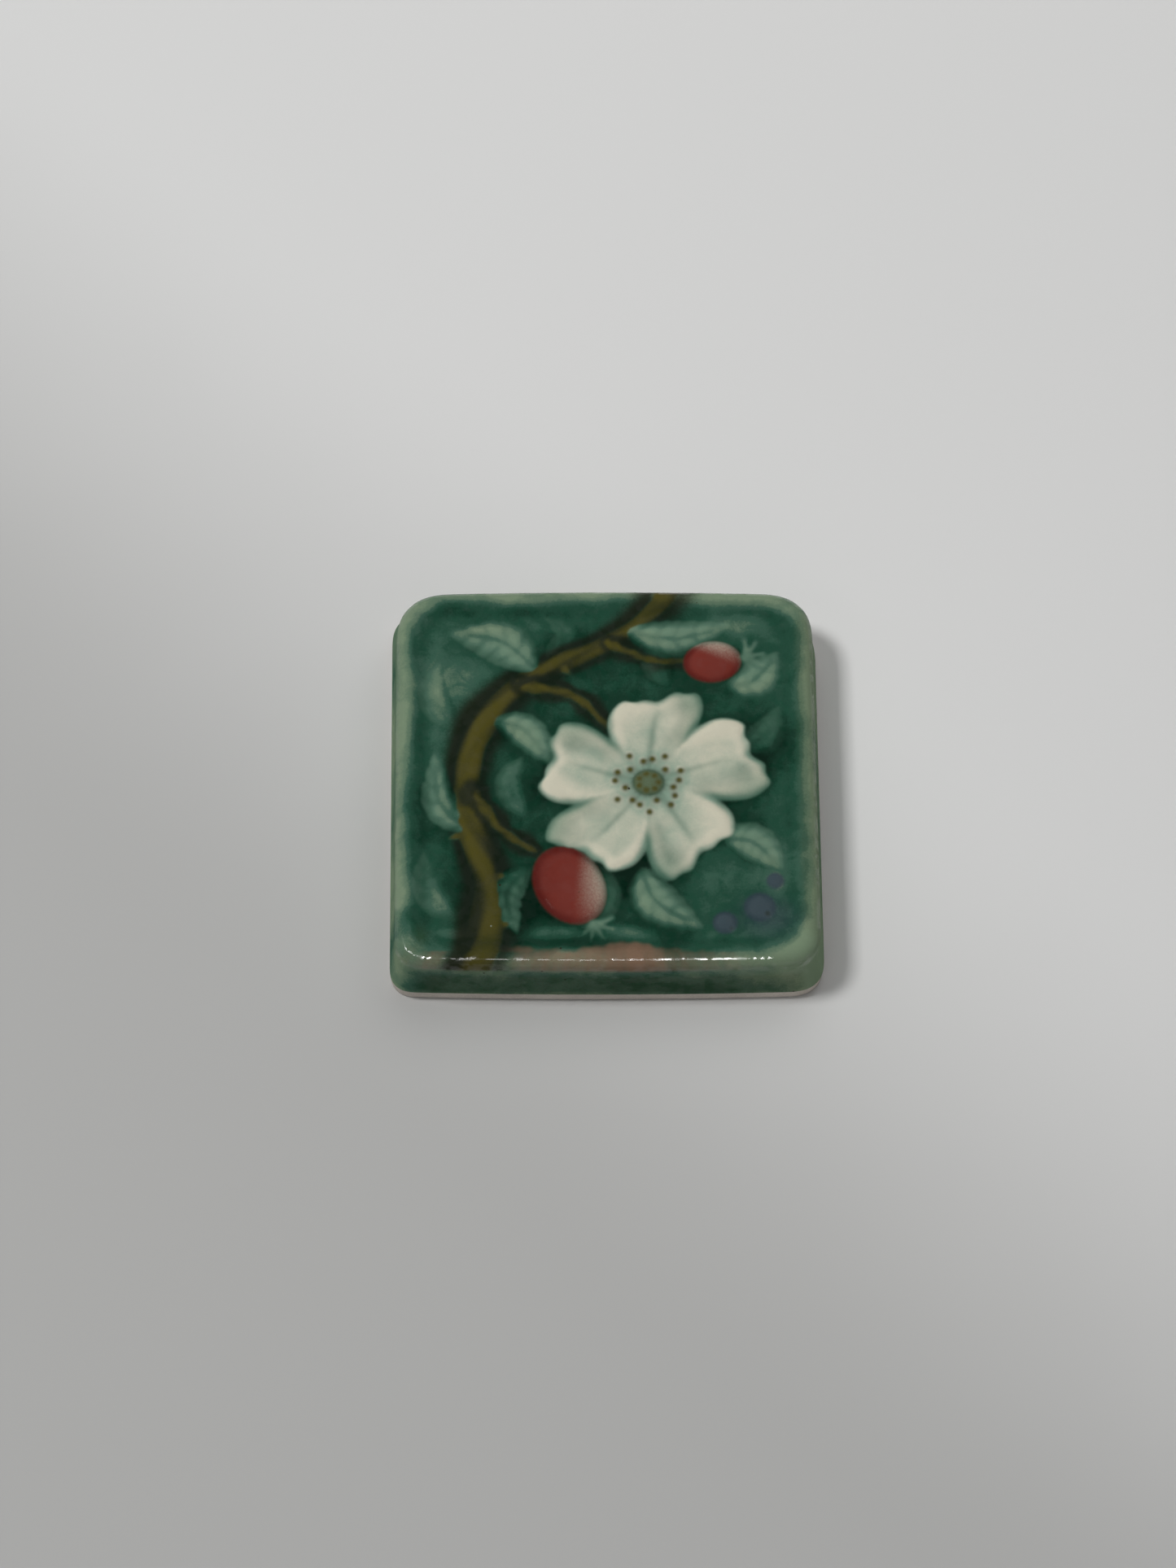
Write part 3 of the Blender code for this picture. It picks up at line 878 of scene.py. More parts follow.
@dataclass(frozen=True)
class Picture:
    """The whole spray, from the low leaves deep in the ground to the fruit in front."""

    ground: Ground = Ground()
    low_leaves: tuple[Blade, ...] = (
        (((-18.5, 6), (-21.5, 11), (-20.5, 16.5)), 4.6),
        (((-18, -20), (-22, -16), (-22.5, -10)), 4.4),
        (((16, 3), (19.8, 5.5), (21.8, 10)), 5.0),
        (((-2, -12), (-0.5, -17), (-3.5, -22)), 5.0),
        (((-10, -6), (-12, -1), (-10, 3)), 4.5),
        (((-7, 15), (-5, 19.5), (-8, 22.5)), 4.5),
        (((8, 12), (6.5, 16), (9, 20.5)), 4.5),
    )
    stem: Branch = Branch(
        ((-15.5, -26), (-14.6, -15), (-17.2, -4), (-15.8, 6), (-9.5, 13.5), (0.5, 18.6), (9.5, 26)),
        widths=(4.9, 4.4, 4.1, 3.7, 3.1, 2.6, 2.2),
        shares=(1.0, 0.95, 0.9, 0.8, 0.7, 0.6),
    )
    twigs: tuple[tuple[tuple[Point, ...], tuple[float, ...], tuple[float, ...], float], ...] = (
        (((-16.3, -3), (-12.5, -8), (-8.8, -10.5)), (2.4, 1.7, 1.3), (0.75, 0.65, 0.55), 2),
        (((-10.5, 12.5), (-4, 11), (1, 6)), (2.3, 1.7, 1.3), (0.75, 0.65, 0.55), 4),
        (((0.5, 18.4), (6, 16), (10, 16)), (1.9, 1.5, 1.2), (0.7, 0.6, 0.5), 5),
    )
    thorns: tuple[Thorn, ...] = (
        Thorn((-18.6, -8.5), 200), Thorn((-12.9, -14), 15), Thorn((-5, 14.6), -40), Thorn((-12.4, -20.4), 10),
    )
    leaves: tuple[Blade, ...] = (
        (((-8.5, 14.5), (-13, 18.6), (-20, 20)), 6.8),
        (((2.6, 20), (9, 19), (16.5, 21.2)), 5.8),
        (((15, 12.5), (18.5, 13), (22, 17.5)), 5.6),
        (((14, -9), (18, -9.5), (21.8, -13.5)), 6.0),
        (((4, -12.5), (6, -17.5), (12, -21.3)), 6.4),
        (((-16.5, -8), (-20.5, -4), (-21.3, 3.5)), 4.8),
        (((-9.5, -12.5), (-12.3, -16.5), (-11, -22)), 4.6),
        (((-14, 7.5), (-10, 6), (-6.5, 1)), 5.4),
    )
    rose: Rose = Rose()
    hips: tuple[Hip, ...] = (Hip((-4.6, -15.2), 11.6, 9.0, -62), Hip((13.4, 15.8), 7.8, 6.2, 8))
    berries: tuple[Berry, ...] = (
        Berry((18.6, -18.2), 4.2), Berry((14.3, -20.3), 3.4), Berry((20.6, -14.6), 2.6),
    )

    def draw(self, canvas: Canvas) -> None:
        """Carves every motif, from the back of the picture to its front.

        Args:
            canvas: The canvas to carve.
        """
        sunk = {"rise": 0.00034, "paleness": 0.38, "detail": 0.45, "teeth": 6}
        low_leaves = [Leaf(*blade, **sunk) for blade in self.low_leaves]
        twigs = [Branch(*sizes, bark=0.00003, shade=0.9, phase=phase) for *sizes, phase in self.twigs]
        leaves = [Leaf(*blade) for blade in self.leaves]
        back: list[Motif] = [self.ground, *low_leaves, self.stem, *twigs, *self.thorns]
        front: list[Motif] = [*leaves, self.rose, *self.hips, *self.berries]
        for motif in back + front:
            motif.carve(canvas)


class NodeBoard:
    """Short calls for building a material's nodes."""

    def __init__(self, name: str) -> None:
        """Starts a material with an empty board.

        Args:
            name: The material's name.
        """
        self.material = bpy.data.materials.new(name)
        self.material.use_nodes = True
        self.tree = self.material.node_tree
        self.shader = self.tree.nodes["Principled BSDF"]

    def feed(self, socket: Socket, value: object) -> None:
        """Links a socket to another, or sets its value.

        Args:
            socket: The socket to feed.
            value: The socket to link it to, or a constant. A colour may leave out its opacity.
        """
        if isinstance(value, Socket):
            self.tree.links.new(value, socket)
        else:
            socket.default_value = (*value, 1.0) if isinstance(value, tuple) else value

    def node(self, kind: str, feeds: dict[str | int, object], **settings: object) -> bpy.types.Node:
        """Adds a node.

        Args:
            kind: Its type, without the words that all types start with.
            feeds: What feeds its inputs, by their names or numbers.
            **settings: Its own settings.

        Returns:
            The node.
        """
        node = self.tree.nodes.new(f"ShaderNode{kind}")
        for name, value in settings.items():
            setattr(node, name, value)
        for name, value in feeds.items():
            self.feed(node.inputs[name], value)
        return node

    def shade(self, feeds: dict[str, object]) -> None:
        """Feeds inputs of the shader, by their names."""
        for name, value in feeds.items():
            self.feed(self.shader.inputs[name], value)

    def attribute(self, name: str) -> Socket:
        """The value of a vertex attribute."""
        return self.node("Attribute", {}, attribute_name=name).outputs["Fac"]

    def place(self) -> Socket:
        """The place in the object, in metres."""
        return self.node("TexCoord", {}).outputs["Object"]

    def noise(self, size: float, detail: float = 1.0, roughness: float = 0.5, warp: float = 0.0) -> Socket:
        """Soft noise around 0.5, with blotches of a size in metres, finer layers, and a pull on them."""
        feeds = {"Scale": 1 / size, "Detail": detail, "Roughness": roughness, "Distortion": warp}
        return self.node("TexNoise", {"Vector": self.place(), **feeds}).outputs["Fac"]

    def cells(self, size: float) -> tuple[Socket, Socket]:
        """Scattered points: the distance to the nearest, in cells, and its random colour."""
        node = self.node("TexVoronoi", {"Vector": self.place(), "Scale": 1 / size})
        return node.outputs["Distance"], node.outputs["Color"]

    def math(self, operation: str, *values: object) -> Socket:
        """The result of one sum, with its values in order."""
        return self.node("Math", dict(enumerate(values)), operation=operation).outputs["Value"]

    def remap(self, value: Socket, ends: Point, low: float = 0.0, high: float = 1.0) -> Socket:
        """Eases a value from low at the first end to high at the other, as smooth() does."""
        feeds = {"Value": value, "From Min": ends[0], "From Max": ends[1], "To Min": low, "To Max": high}
        return self.node("MapRange", feeds, interpolation_type="SMOOTHSTEP").outputs["Result"]

    def mix(self, share: Socket, first: Socket | Colour, second: Socket | Colour) -> Socket:
        """Mixes two colours by the second one's share."""
        return self.node("Mix", {0: share, 6: first, 7: second}, data_type="RGBA").outputs[2]

    def relief(self, height: Socket, distance: float, below: dict[str, Socket] | None = None) -> Socket:
        """Bends the surface's normal, or the one given below it as Normal, by a height."""
        return self.node("Bump", {"Height": height, "Distance": distance, **(below or {})}).outputs["Normal"]

    def ramp(self, share: Socket, stops: tuple[tuple[float, Colour], ...]) -> Socket:
        """Runs a value through a row of colours.

        Args:
            share: The value, from 0 to 1.
            stops: The colours, each with its place.

        Returns:
            The colour at the value.
        """
        node = self.node("ValToRGB", {"Fac": share})
        node.color_ramp.interpolation = "EASE"
        elements = node.color_ramp.elements
        while len(elements) < len(stops):
            elements.new(0.5)
        for element, (position, colour) in zip(elements, stops):
            element.position = position
            element.color = (*colour, 1.0)
        return node.outputs["Color"]


@dataclass(frozen=True)
class Tint:
    """A stain's colour under thin glaze and under thick glaze, and how ragged its edge is."""

    thin: Colour
    thick: Colour
    ragged: float = 0.18


@dataclass(frozen=True)
class Blotches:
    """Soft noise in the glaze: its size, its layers and how far it changes the glaze's depth."""

    size: float
    detail: float
    roughness: float
    strength: float
    warp: float = 0.0

    def on(self, board: NodeBoard) -> Socket:
        """Puts the noise on a board."""
        return board.noise(self.size, self.detail, self.roughness, self.warp)


@dataclass(frozen=True)
class PooledGlaze:
    """The glossy transparent green glaze with its stains, specks and pinholes."""

    clouds: Blotches = Blotches(0.0095, 3, 0.45, strength=0.72)
    mottles: Blotches = Blotches(0.0021, 3, 0.6, strength=0.34, warp=0.6)
    grain: Blotches = Blotches(0.00026, 1.5, 0.6, strength=0.12)
    roughness: float = 0.04
    dull: float = 0.20
    dull_size: float = 0.0013
    dull_ends: Point = (0.54, 0.64)
    gloss: float = 0.35
    gap_gloss: float = 0.04
    gap_size: float = 0.0014
    gap_ends: Point = (0.43, 0.50)
    refraction: float = 1.5
    wave: float = 0.000014
    wave_size: float = 0.0019
    ripple: float = 0.0000056
    ripple_size: float = 0.0006
    thick_ends: Point = (0.1, 0.9)
    stain_ends: Point = (0.08, 0.92)
    speck_share: float = 0.8
    specks: tuple[tuple[float, float, float, Colour], ...] = (
        (0.0021, 0.085, 0.22, (0.030, 0.022, 0.012)),
        (0.0012, 0.070, 0.10, (0.050, 0.040, 0.022)),
        (0.0040, 0.035, 0.20, (0.300, 0.330, 0.260)),
    )
    greens: tuple[tuple[float, Colour], ...] = (
        (0.00, (0.235, 0.325, 0.210)),
        (0.20, (0.145, 0.236, 0.155)),
        (0.38, (0.052, 0.135, 0.092)),
        (0.55, (0.022, 0.088, 0.054)),
        (0.75, (0.009, 0.048, 0.027)),
        (1.00, (0.003, 0.019, 0.010)),
    )
    tints: tuple[tuple[Stain, Tint], ...] = (
        (Stain.ROSE, Tint((0.325, 0.202, 0.132), (0.140, 0.092, 0.058))),
        (Stain.BLUE, Tint((0.062, 0.092, 0.108), (0.022, 0.047, 0.057))),
        (Stain.AMBER, Tint((0.098, 0.088, 0.018), (0.048, 0.053, 0.016))),
        (Stain.UMBER, Tint((0.026, 0.032, 0.017), (0.011, 0.019, 0.011))),
        (Stain.PALE, Tint((0.192, 0.328, 0.232), (0.062, 0.152, 0.102))),
        (Stain.WHITE, Tint((0.790, 0.760, 0.600), (0.310, 0.450, 0.345), ragged=0.10)),
        (Stain.RED, Tint((0.225, 0.042, 0.031), (0.120, 0.017, 0.013), ragged=0.22)),
    )

    def material(self) -> bpy.types.Material:
        """Builds the glaze.

        Returns:
            The finished material.
        """
        board = NodeBoard("pooled green glaze")
        depth = self.depth(board)
        grain = self.grain.on(board)
        colour = board.ramp(depth, self.greens)
        for stain, tint in self.tints:
            colour = self.painted(board, colour, stain, tint, depth, grain)
        dull = board.remap(board.noise(self.dull_size), self.dull_ends, self.roughness, self.dull)
        gaps = board.remap(board.noise(self.gap_size, detail=2), self.gap_ends, self.gap_gloss, self.gloss)
        level = board.math("MULTIPLY", board.attribute("gloss"), gaps)
        waves = board.relief(board.noise(self.wave_size), 2 * self.wave)
        waves = board.relief(board.noise(self.ripple_size), self.ripple, {"Normal": waves})
        board.shade({"Base Color": self.specked(board, colour), "Roughness": dull, "IOR": self.refraction,
                     "Specular IOR Level": level, "Normal": waves})
        return board.material

    def depth(self, board: NodeBoard) -> Socket:
        """Works out the glaze's depth with its clouds, mottles and grain.

        Args:
            board: The board that the nodes stand on.

        Returns:
            The depth, about 0 where the glaze is thin and 1 where it pools.
        """
        pool = board.attribute("pool")
        for blotches in (self.clouds, self.mottles, self.grain):
            centred = board.math("SUBTRACT", blotches.on(board), 0.5)
            pool = board.math("MULTIPLY_ADD", centred, blotches.strength, pool)
        return pool

    def painted(self, board: NodeBoard, under: Socket, stain: Stain, tint: Tint, depth: Socket,
                grain: Socket) -> Socket:
        """Lays one stain over the colour below, with a feathered, grainy edge.

        Args:
            board: The board that the nodes stand on.
            under: The colour below.
            stain: Which stain it is.
            tint: Its colours.
            depth: The glaze's depth over it.
            grain: The noise that its edge follows.

        Returns:
            The colour with the stain.
        """
        mask = board.attribute(stain.value)
        loose = board.math("MULTIPLY", board.math("SUBTRACT", grain, 0.5), 4 * tint.ragged)
        edge = board.math("MULTIPLY", mask, board.math("SUBTRACT", 1.0, mask))
        mask = board.remap(board.math("MULTIPLY_ADD", edge, loose, mask), self.stain_ends)
        colour = board.mix(board.remap(depth, self.thick_ends), tint.thin, tint.thick)
        return board.mix(mask, under, colour)

    def specked(self, board: NodeBoard, colour: Socket) -> Socket:
        """Scatters iron specks and pale pinholes.

        Args:
            board: The board that the nodes stand on.
            colour: The colour below.

        Returns:
            The colour with the specks.
        """
        for size, radius, share, ink in self.specks:
            distance, pick = board.cells(size)
            dot = board.remap(distance, (radius, 0.6 * radius))
            chosen = board.math("MULTIPLY", board.math("LESS_THAN", pick, share), self.speck_share)
            colour = board.mix(board.math("MULTIPLY", dot, chosen), colour, ink)
        return colour


@dataclass(frozen=True)
class BareClay:
    """The pinkish clay that shows at the foot and on the back."""

    colour: Colour = (0.635, 0.572, 0.502)
    dark: Colour = (0.461, 0.405, 0.348)
    roughness: float = 0.85
    cloud: float = 0.006
    cloud_share: float = 0.7
    grain: float = 0.00018
    grain_share: float = 0.5
    dark_ends: Point = (0.35, 0.85)
    pits: float = 0.00004

    def material(self) -> bpy.types.Material:
        """Builds the clay.

        Returns:
            The finished material.
        """
        board = NodeBoard("bare clay")
        cloud = board.noise(self.cloud, detail=4, roughness=0.6)
        grain = board.noise(self.grain, detail=2, roughness=0.7)
        share = board.math("MULTIPLY", cloud, self.cloud_share)
        share = board.math("MULTIPLY_ADD", grain, self.grain_share, share)
        colour = board.mix(board.remap(share, self.dark_ends), self.colour, self.dark)
        pits = board.relief(grain, self.pits)
        board.shade({"Base Color": colour, "Roughness": self.roughness, "Normal": pits})
        return board.material


def link(name: str, data: bpy.types.ID) -> bpy.types.Object:
    """Makes an object and links it into the scene.

    Args:
        name: The object's name.
        data: Its mesh, light or camera.

    Returns:
        The object.
    """
    thing = bpy.data.objects.new(name, data)
    bpy.context.scene.collection.objects.link(thing)
    return thing


def only(kind: type, items: list) -> list:
    """The items of one kind, such as the edges among what an operator made."""
    return [item for item in items if isinstance(item, kind)]


@dataclass(frozen=True)
class RimGlaze:
    """The glaze along the rim, at places u across and v up the square."""

    tones: tuple[tuple[Point, Point, float], ...] = (
        ((-1.0, -0.80), (0.07, 0.08), 0.20),
        ((-1.02, -0.98), (0.10, 0.12), 0.16),
        ((1.0, -0.92), (0.08, 0.13), -0.26),
        ((0.90, -1.0), (0.14, 0.06), -0.24),
        ((1.0, -0.35), (0.03, 0.22), -0.12),
        ((1.0, -0.65), (0.05, 0.14), -0.14),
        ((1.0, 0.45), (0.05, 0.16), -0.14),
        ((-1.0, 0.30), (0.04, 0.15), -0.10),
        ((-1.0, 0.02), (0.04, 0.16), -0.14),
        ((-0.98, 0.95), (0.07, 0.10), -0.06),
        ((0.2, 1.0), (0.25, 0.04), 0.04),
        ((-0.5, 1.0), (0.15, 0.05), -0.10),
    )
    slope_depth: float = 0.44
    slope_tilt: float = 0.04
    slope_waves: tuple[Wave, ...] = ((0.06, 5, 2.0), (0.05, 13, 0.0))
    slope_reach: Point = (0.0034, 0.0014)
    shore_reach: Point = (-0.0014, 0.0007)
    shore_waves: tuple[Wave, ...] = (
        (0.00022, 3, 0.0), (0.00024, 7, 1.0), (0.00010, 17, 0.0), (0.00004, 41, 0.0),
    )
    far_shift: float = 0.0005
    near_shift: float = 0.0002
    olive_right: float = 0.30
    olive_near_left: float = 0.34
    blue_far_left: float = 0.35

    def slope(self, inwards: Array, u: Array, v: Array) -> Array:
        """Works out the least depth of the glaze on the rim's slope.

        Args:
            inwards: How far inside the crest each point lies, in metres.
            u: Its place across.
            v: Its place up.

        Returns:
            That depth, which falls to 0 in the field.
        """
        full = self.slope_depth - self.slope_tilt * u + ripple(np.arctan2(v, u), *self.slope_waves)
        return full * smooth(*self.slope_reach, inwards)

    def shore(self, inwards: Array, u: Array, v: Array) -> Array:
        """Works out how much of the picture's glaze stands at a place near the rim's crest.

        Args:
            inwards: How far inside the crest each point lies, in metres.
            u: Its place across.
            v: Its place up.

        Returns:
            A share that is 1 in the field and falls to 0 on the rounded edge, where glaze runs thin.
        """
        shift = ripple(np.arctan2(v, u), *self.shore_waves) + self.far_shift * smooth(0.85, 0.98, v)
        return smooth(*self.shore_reach, inwards - shift + self.near_shift * smooth(-0.85, -0.98, v))

    def tone(self, u: Array, v: Array) -> Array:
        """How much deeper the glaze is than elsewhere along the rim."""
        return sum(amount * spot(u, v, centre, size) for centre, size, amount in self.tones)

    def stains(self, u: Array, v: Array) -> dict[Stain, Array]:
        """Paints the rim: olive along the right and at the near left, and blue at the far left.

        Args:
            u: Each point's place across.
            v: Its place up.

        Returns:
            The strength of each of the two stains.
        """
        right = self.olive_right * smooth(0.93, 1.0, u) * smooth(0.97, 0.85, np.abs(v))
        near_left = self.olive_near_left * spot(u, v, (-0.94, -0.92), (0.06, 0.11))
        far_left = self.blue_far_left * spot(u, v, (-0.98, 0.95), (0.06, 0.10))
        return {Stain.AMBER: np.maximum(right, near_left), Stain.BLUE: far_left}


@dataclass(frozen=True)
class ReliefTile:
    """The tile: one fine mesh of the blank with the picture on its face."""

    blank: Blank = Blank()
    picture: Picture = Picture()
    rim: RimGlaze = RimGlaze()
    cells: int = 272
    settle: float = 0.62
    soften: float = 0.00040
    clay_soften: float = 0.00022
    stain_soften: float = 0.00018
    firm_border: float = 0.0008
    hollow_near: float = 0.0009
    hollow_far: float = 0.0026
    hollow_margin: float = 0.006
    hollow_gain: float = 700.0
    crest_gain: float = 190.0
    crest_level: float = 0.0004
    even_depth: float = 0.52
    rim_share: float = 0.22
    rim_band: Point = (0.12, 0.0018)
    relief_fade: Point = (0.6, -0.8)
    stain_fade: Point = (2.0, 0.9)
    front: Point = (-0.97, -1.0)
    band_left: Point = (-1.0, -0.80)
    band_right: Point = (1.0, 0.86)
    band_depth: float = 0.28
    band_olive: float = 0.36
    band_top: float = -0.05
    band_foot: Point = (0.45, 1.20)
    band_turn: Point = (-0.1, 0.6)
    drift_waves: tuple[Wave, Wave] = ((0.035, 11, 3), (0.02, 29, 1))
    crest_depth: float = 0.02
    rounding_depth: float = 0.16
    corner_thinning: float = 0.26
    thin_left: tuple[Point, Point] = ((-1.0, 0.06), (-0.85, -0.97))
    thin_right: tuple[Point, Point] = ((0.97, 1.0), (-0.4, -0.9))
    thin_rounding: Point = (0.3, 1.0)
    gloss_front: Point = (-0.9, -1.0)
    gloss_rounding: Point = (0.25, 0.7)
    gloss_down: Point = (0.0, 0.12)
    wall_gloss: float = 0.2
    olive_down: Point = (0.0, 0.4)
    foot_thinning: float = 0.22
    foot_fade: Point = (0.93, 1.0)
    wall_stain_fade: Point = (0.22, -0.05)
    rose_gap: Point = (-0.58, 0.16)
    sharp_angle: float = math.radians(35)
    glaze: PooledGlaze = PooledGlaze()
    clay: BareClay = BareClay()
    name: str = "glazed_tile"

    def build(self) -> bpy.types.Object:
        """Builds and dresses the tile.

        Returns:
            The finished object.
        """
        body = bmesh.new()
        bmesh.ops.create_grid(body, x_segments=self.cells, y_segments=self.cells, size=1.0)
        flat = np.array([vert.co for vert in body.verts])
        x, y = self.blank.place(flat[:, 0], flat[:, 1], self.blank.crest_half, self.blank.crest_corners)
        height, layers = self.face(x, y)
        for vert, place in zip(body.verts, zip(x, y, height)):
            vert.co = place
        side = self.extrude_side(body, flat)
        bmesh.ops.recalc_face_normals(body, faces=body.faces)
        self.put_in_order(body)
        mesh = bpy.data.meshes.new(self.name)
        body.to_mesh(mesh)
        body.free()
        self.write_layers(mesh, layers, self.side_layers(side, flat, layers))
        mesh.shade_smooth()
        mesh.set_sharp_from_angle(angle=self.sharp_angle)
        self.dress(mesh)
        return link(self.name, mesh)

    def dress(self, mesh: bpy.types.Mesh) -> None:
        """Gives the mesh its glaze and its bare clay."""
        for finish in (self.glaze, self.clay):
            mesh.materials.append(finish.material())

    def face(self, x: Array, y: Array) -> tuple[Array, dict[str, Array]]:
        """Carves the face.

        Args:
            x: The grid's x, in metres, row by row.
            y: The grid's y.

        Returns:
            The height of each point over the back, and the layers that the glaze reads.
        """
        blank = self.blank
        shape = (self.cells + 1, self.cells + 1)
        cell = 2 * blank.crest_half / self.cells
        canvas = Canvas(x / blank.unit, y / blank.unit)
        self.picture.draw(canvas)
        outside = blank.outside_field(x, y)
        lip = blank.ground + blank.field_depth * smooth(0, blank.rim_slope, outside)
        slopes_outside = outside / blank.rim_slope
        rise = canvas.rise * smooth(*self.relief_fade, slopes_outside)
        low_lip = blank.ground + self.rim_share * (lip - blank.ground)
        clay = blurred(np.maximum(low_lip, blank.ground + rise).reshape(shape), self.clay_soften / cell)
        height = np.maximum(lip, blank.ground + self.settle * rise).reshape(shape)
        from_border = (blank.crest_half - np.maximum(np.abs(x), np.abs(y))).reshape(shape)
        softened = blurred(height, self.soften / cell) - height
        height = height + softened * smooth(0.0, self.firm_border, from_border)
        u, v = x / blank.crest_half, y / blank.crest_half
        inwards = blank.rim_slope - outside
        pool = np.maximum(self.pooling(clay, cell).ravel() + canvas.depth, self.rim.slope(inwards, u, v))
        band, band_width = self.rim_band
        pool = (pool - band * bump(outside, band_width)) * self.rim.shore(inwards, u, v)
        layers = {"pool": pool + self.rim.tone(u, v), "gloss": np.ones(x.size)}
        rim_stains = self.rim.stains(u, v)
        for stain, values in canvas.stains.items():
            values = np.maximum(values * smooth(*self.stain_fade, slopes_outside), rim_stains.get(stain, 0.0))
            layers[stain.value] = blurred(values.reshape(shape), self.stain_soften / cell).ravel()
        return height.ravel(), layers

    def pooling(self, clay: Array, cell: float) -> Array:
        """Works out how deep the glaze lies.

        Args:
            clay: The height of the clay below the glaze, as a grid.
            cell: The size of a cell of the grid.

        Returns:
            The glaze's depth as a grid, about 0 where it is thin and 1 where it pools.
        """
        margin = int(self.hollow_margin / cell)
        wide = np.pad(clay, margin, mode="edge")
        inner = (slice(margin, -margin), slice(margin, -margin))
        near, far = (blurred(wide, reach / cell)[inner] for reach in (self.hollow_near, self.hollow_far))
        hollow = self.hollow_gain * (near - clay) + self.hollow_gain * (far - clay)
        return self.even_depth + hollow - self.crest_gain * (clay - self.blank.ground - self.crest_level)

    def extrude_side(self, body: bmesh.types.BMesh, flat: Array) -> list[tuple[Ring, list[int]]]:
        """Extrudes the grid's border down the side and closes the back.

        Args:
            body: The mesh that holds the carved grid.
            flat: The grid's places on the square, by vertex.

        Returns:
            Each ring with the border vertices that its own hang from, in the mesh's order.
        """
        source = {vert: vert.index for vert in body.verts if vert.is_boundary}
        border = [edge for edge in body.edges if edge.is_boundary]
        made_rings = []
        for ring in self.blank.rings():
            made = bmesh.ops.extrude_edge_only(body, edges=border)["geom"]
            border = [edge for edge in only(bmesh.types.BMEdge, made) if edge.is_boundary]
            body.verts.index_update()
            below = {}
            for vert in sorted(only(bmesh.types.BMVert, made), key=lambda vert: vert.index):
                joined = [edge.other_vert(vert) for edge in vert.link_edges]
                below[vert] = source[next(other for other in joined if other in source)]
            u, v = flat[list(below.values()), :2].T
            for vert, across, up in zip(below, *self.blank.place(u, v, ring.half, ring.corners)):
                vert.co = (across, up, ring.height)
            for face in only(bmesh.types.BMFace, made):
                face.material_index = int(ring.bare)
            source = below
            made_rings.append((ring, list(below.values())))
        for face in bmesh.ops.contextual_create(body, geom=border)["faces"]:
            face.material_index = 1
        return made_rings

    def put_in_order(self, body: bmesh.types.BMesh) -> None:
        """Sorts the edges and faces by their vertices, so that every run lists them alike.

        Args:
            body: The mesh to sort.
        """
        body.verts.index_update()
        count = len(body.verts)

        def rank(item: bmesh.types.BMEdge | bmesh.types.BMFace) -> int:
            """A number that no other edge, or no other face, has."""
            first, second, third = sorted([vert.index for vert in item.verts] + [count])[:3]
            return (first * count + second) * count + third

        body.edges.sort(key=rank)
        body.faces.sort(key=rank)

    def side_layers(self, side: list[tuple[Ring, list[int]]], flat: Array,
                    face: dict[str, Array]) -> dict[str, Array]:
        """Works out the glaze's depth, its gloss and its stains down the side.

        Args:
            side: The rings with the border vertices that they hang from.
            flat: The grid's places on the square, by vertex.
            face: The layers of the face.

        Returns:
            The layers that the glaze reads there, for the rings' vertices in order.
        """
        blank = self.blank
        source = np.concatenate([indices for _, indices in side])
        height = np.concatenate([np.full(len(indices), ring.height) for ring, indices in side])
        u, v = flat[source, :2].T
        rounding = np.clip((blank.rim_height - height) / blank.edge_round, 0, 1)
        down = np.clip((blank.wall_top - height) / (blank.wall_top - blank.glaze_end), 0, 1)
        front = smooth(*self.front, v)
        near = front * smooth(*self.band_left, u) * smooth(*self.band_right, u)
        run = np.where(np.abs(u) > np.abs(v), v, u)
        (swing, rate, lag), (small_swing, small_rate, small_lag) = self.drift_waves
        drift = swing * np.sin(rate * run + lag * u) + small_swing * np.sin(small_rate * run + small_lag * v)
        band_foot = np.interp(smooth(*self.band_turn, u), (0, 1), self.band_foot)
        band = self.band_depth * near * smooth(self.band_top, band_foot, down + 0.5 * drift)
        foot = self.foot_thinning * smooth(*self.foot_fade, down + drift)
        inset = blank.edge_round * (1 - np.sqrt(1 - (1 - rounding) ** 2))
        crest_shore = np.maximum(self.rim.shore(np.zeros(len(u)), u, v), 0.05)
        left = self.rim.shore(inset - blank.edge_round, u, v) / crest_shore
        edge = face["pool"][source] * left + self.rim.tone(u, v) * (1 - left)
        edge = edge + self.crest_depth + self.rounding_depth * rounding
        (corner, width), left_ends = self.thin_left
        right_side, right_ends = self.thin_right
        thin = bump(u - corner, width) * smooth(*left_ends, v)
        thin = thin + smooth(*right_side, u) * smooth(*right_ends, v)
        edge = edge - self.corner_thinning * thin * smooth(*self.thin_rounding, rounding)
        off_front = (1 - smooth(*self.gloss_front, v)) * smooth(*self.gloss_rounding, rounding)
        gloss = 1 - off_front - (1 - self.wall_gloss * near) * smooth(*self.gloss_down, down)
        layers = {"pool": edge + band - foot + drift * (0.4 + down), "gloss": np.clip(gloss, 0, 1)}
        top = smooth(*self.wall_stain_fade, down)
        for stain in Stain:
            layers[stain.value] = face[stain.value][source] * top
        olive = self.band_olive * near * smooth(*self.olive_down, down)
        layers[Stain.AMBER.value] = np.maximum(layers[Stain.AMBER.value], olive)
        rose = self.picture.ground.blush_at(u * blank.crest_half / blank.unit) * front * top
        gap, gap_width = self.rose_gap
        rose = rose * (1 - 0.5 * bump(u - gap, gap_width) * rounding)
        layers[Stain.ROSE.value] = np.clip(rose, 0, 1) * (1 - face[Stain.UMBER.value][source])
        return layers

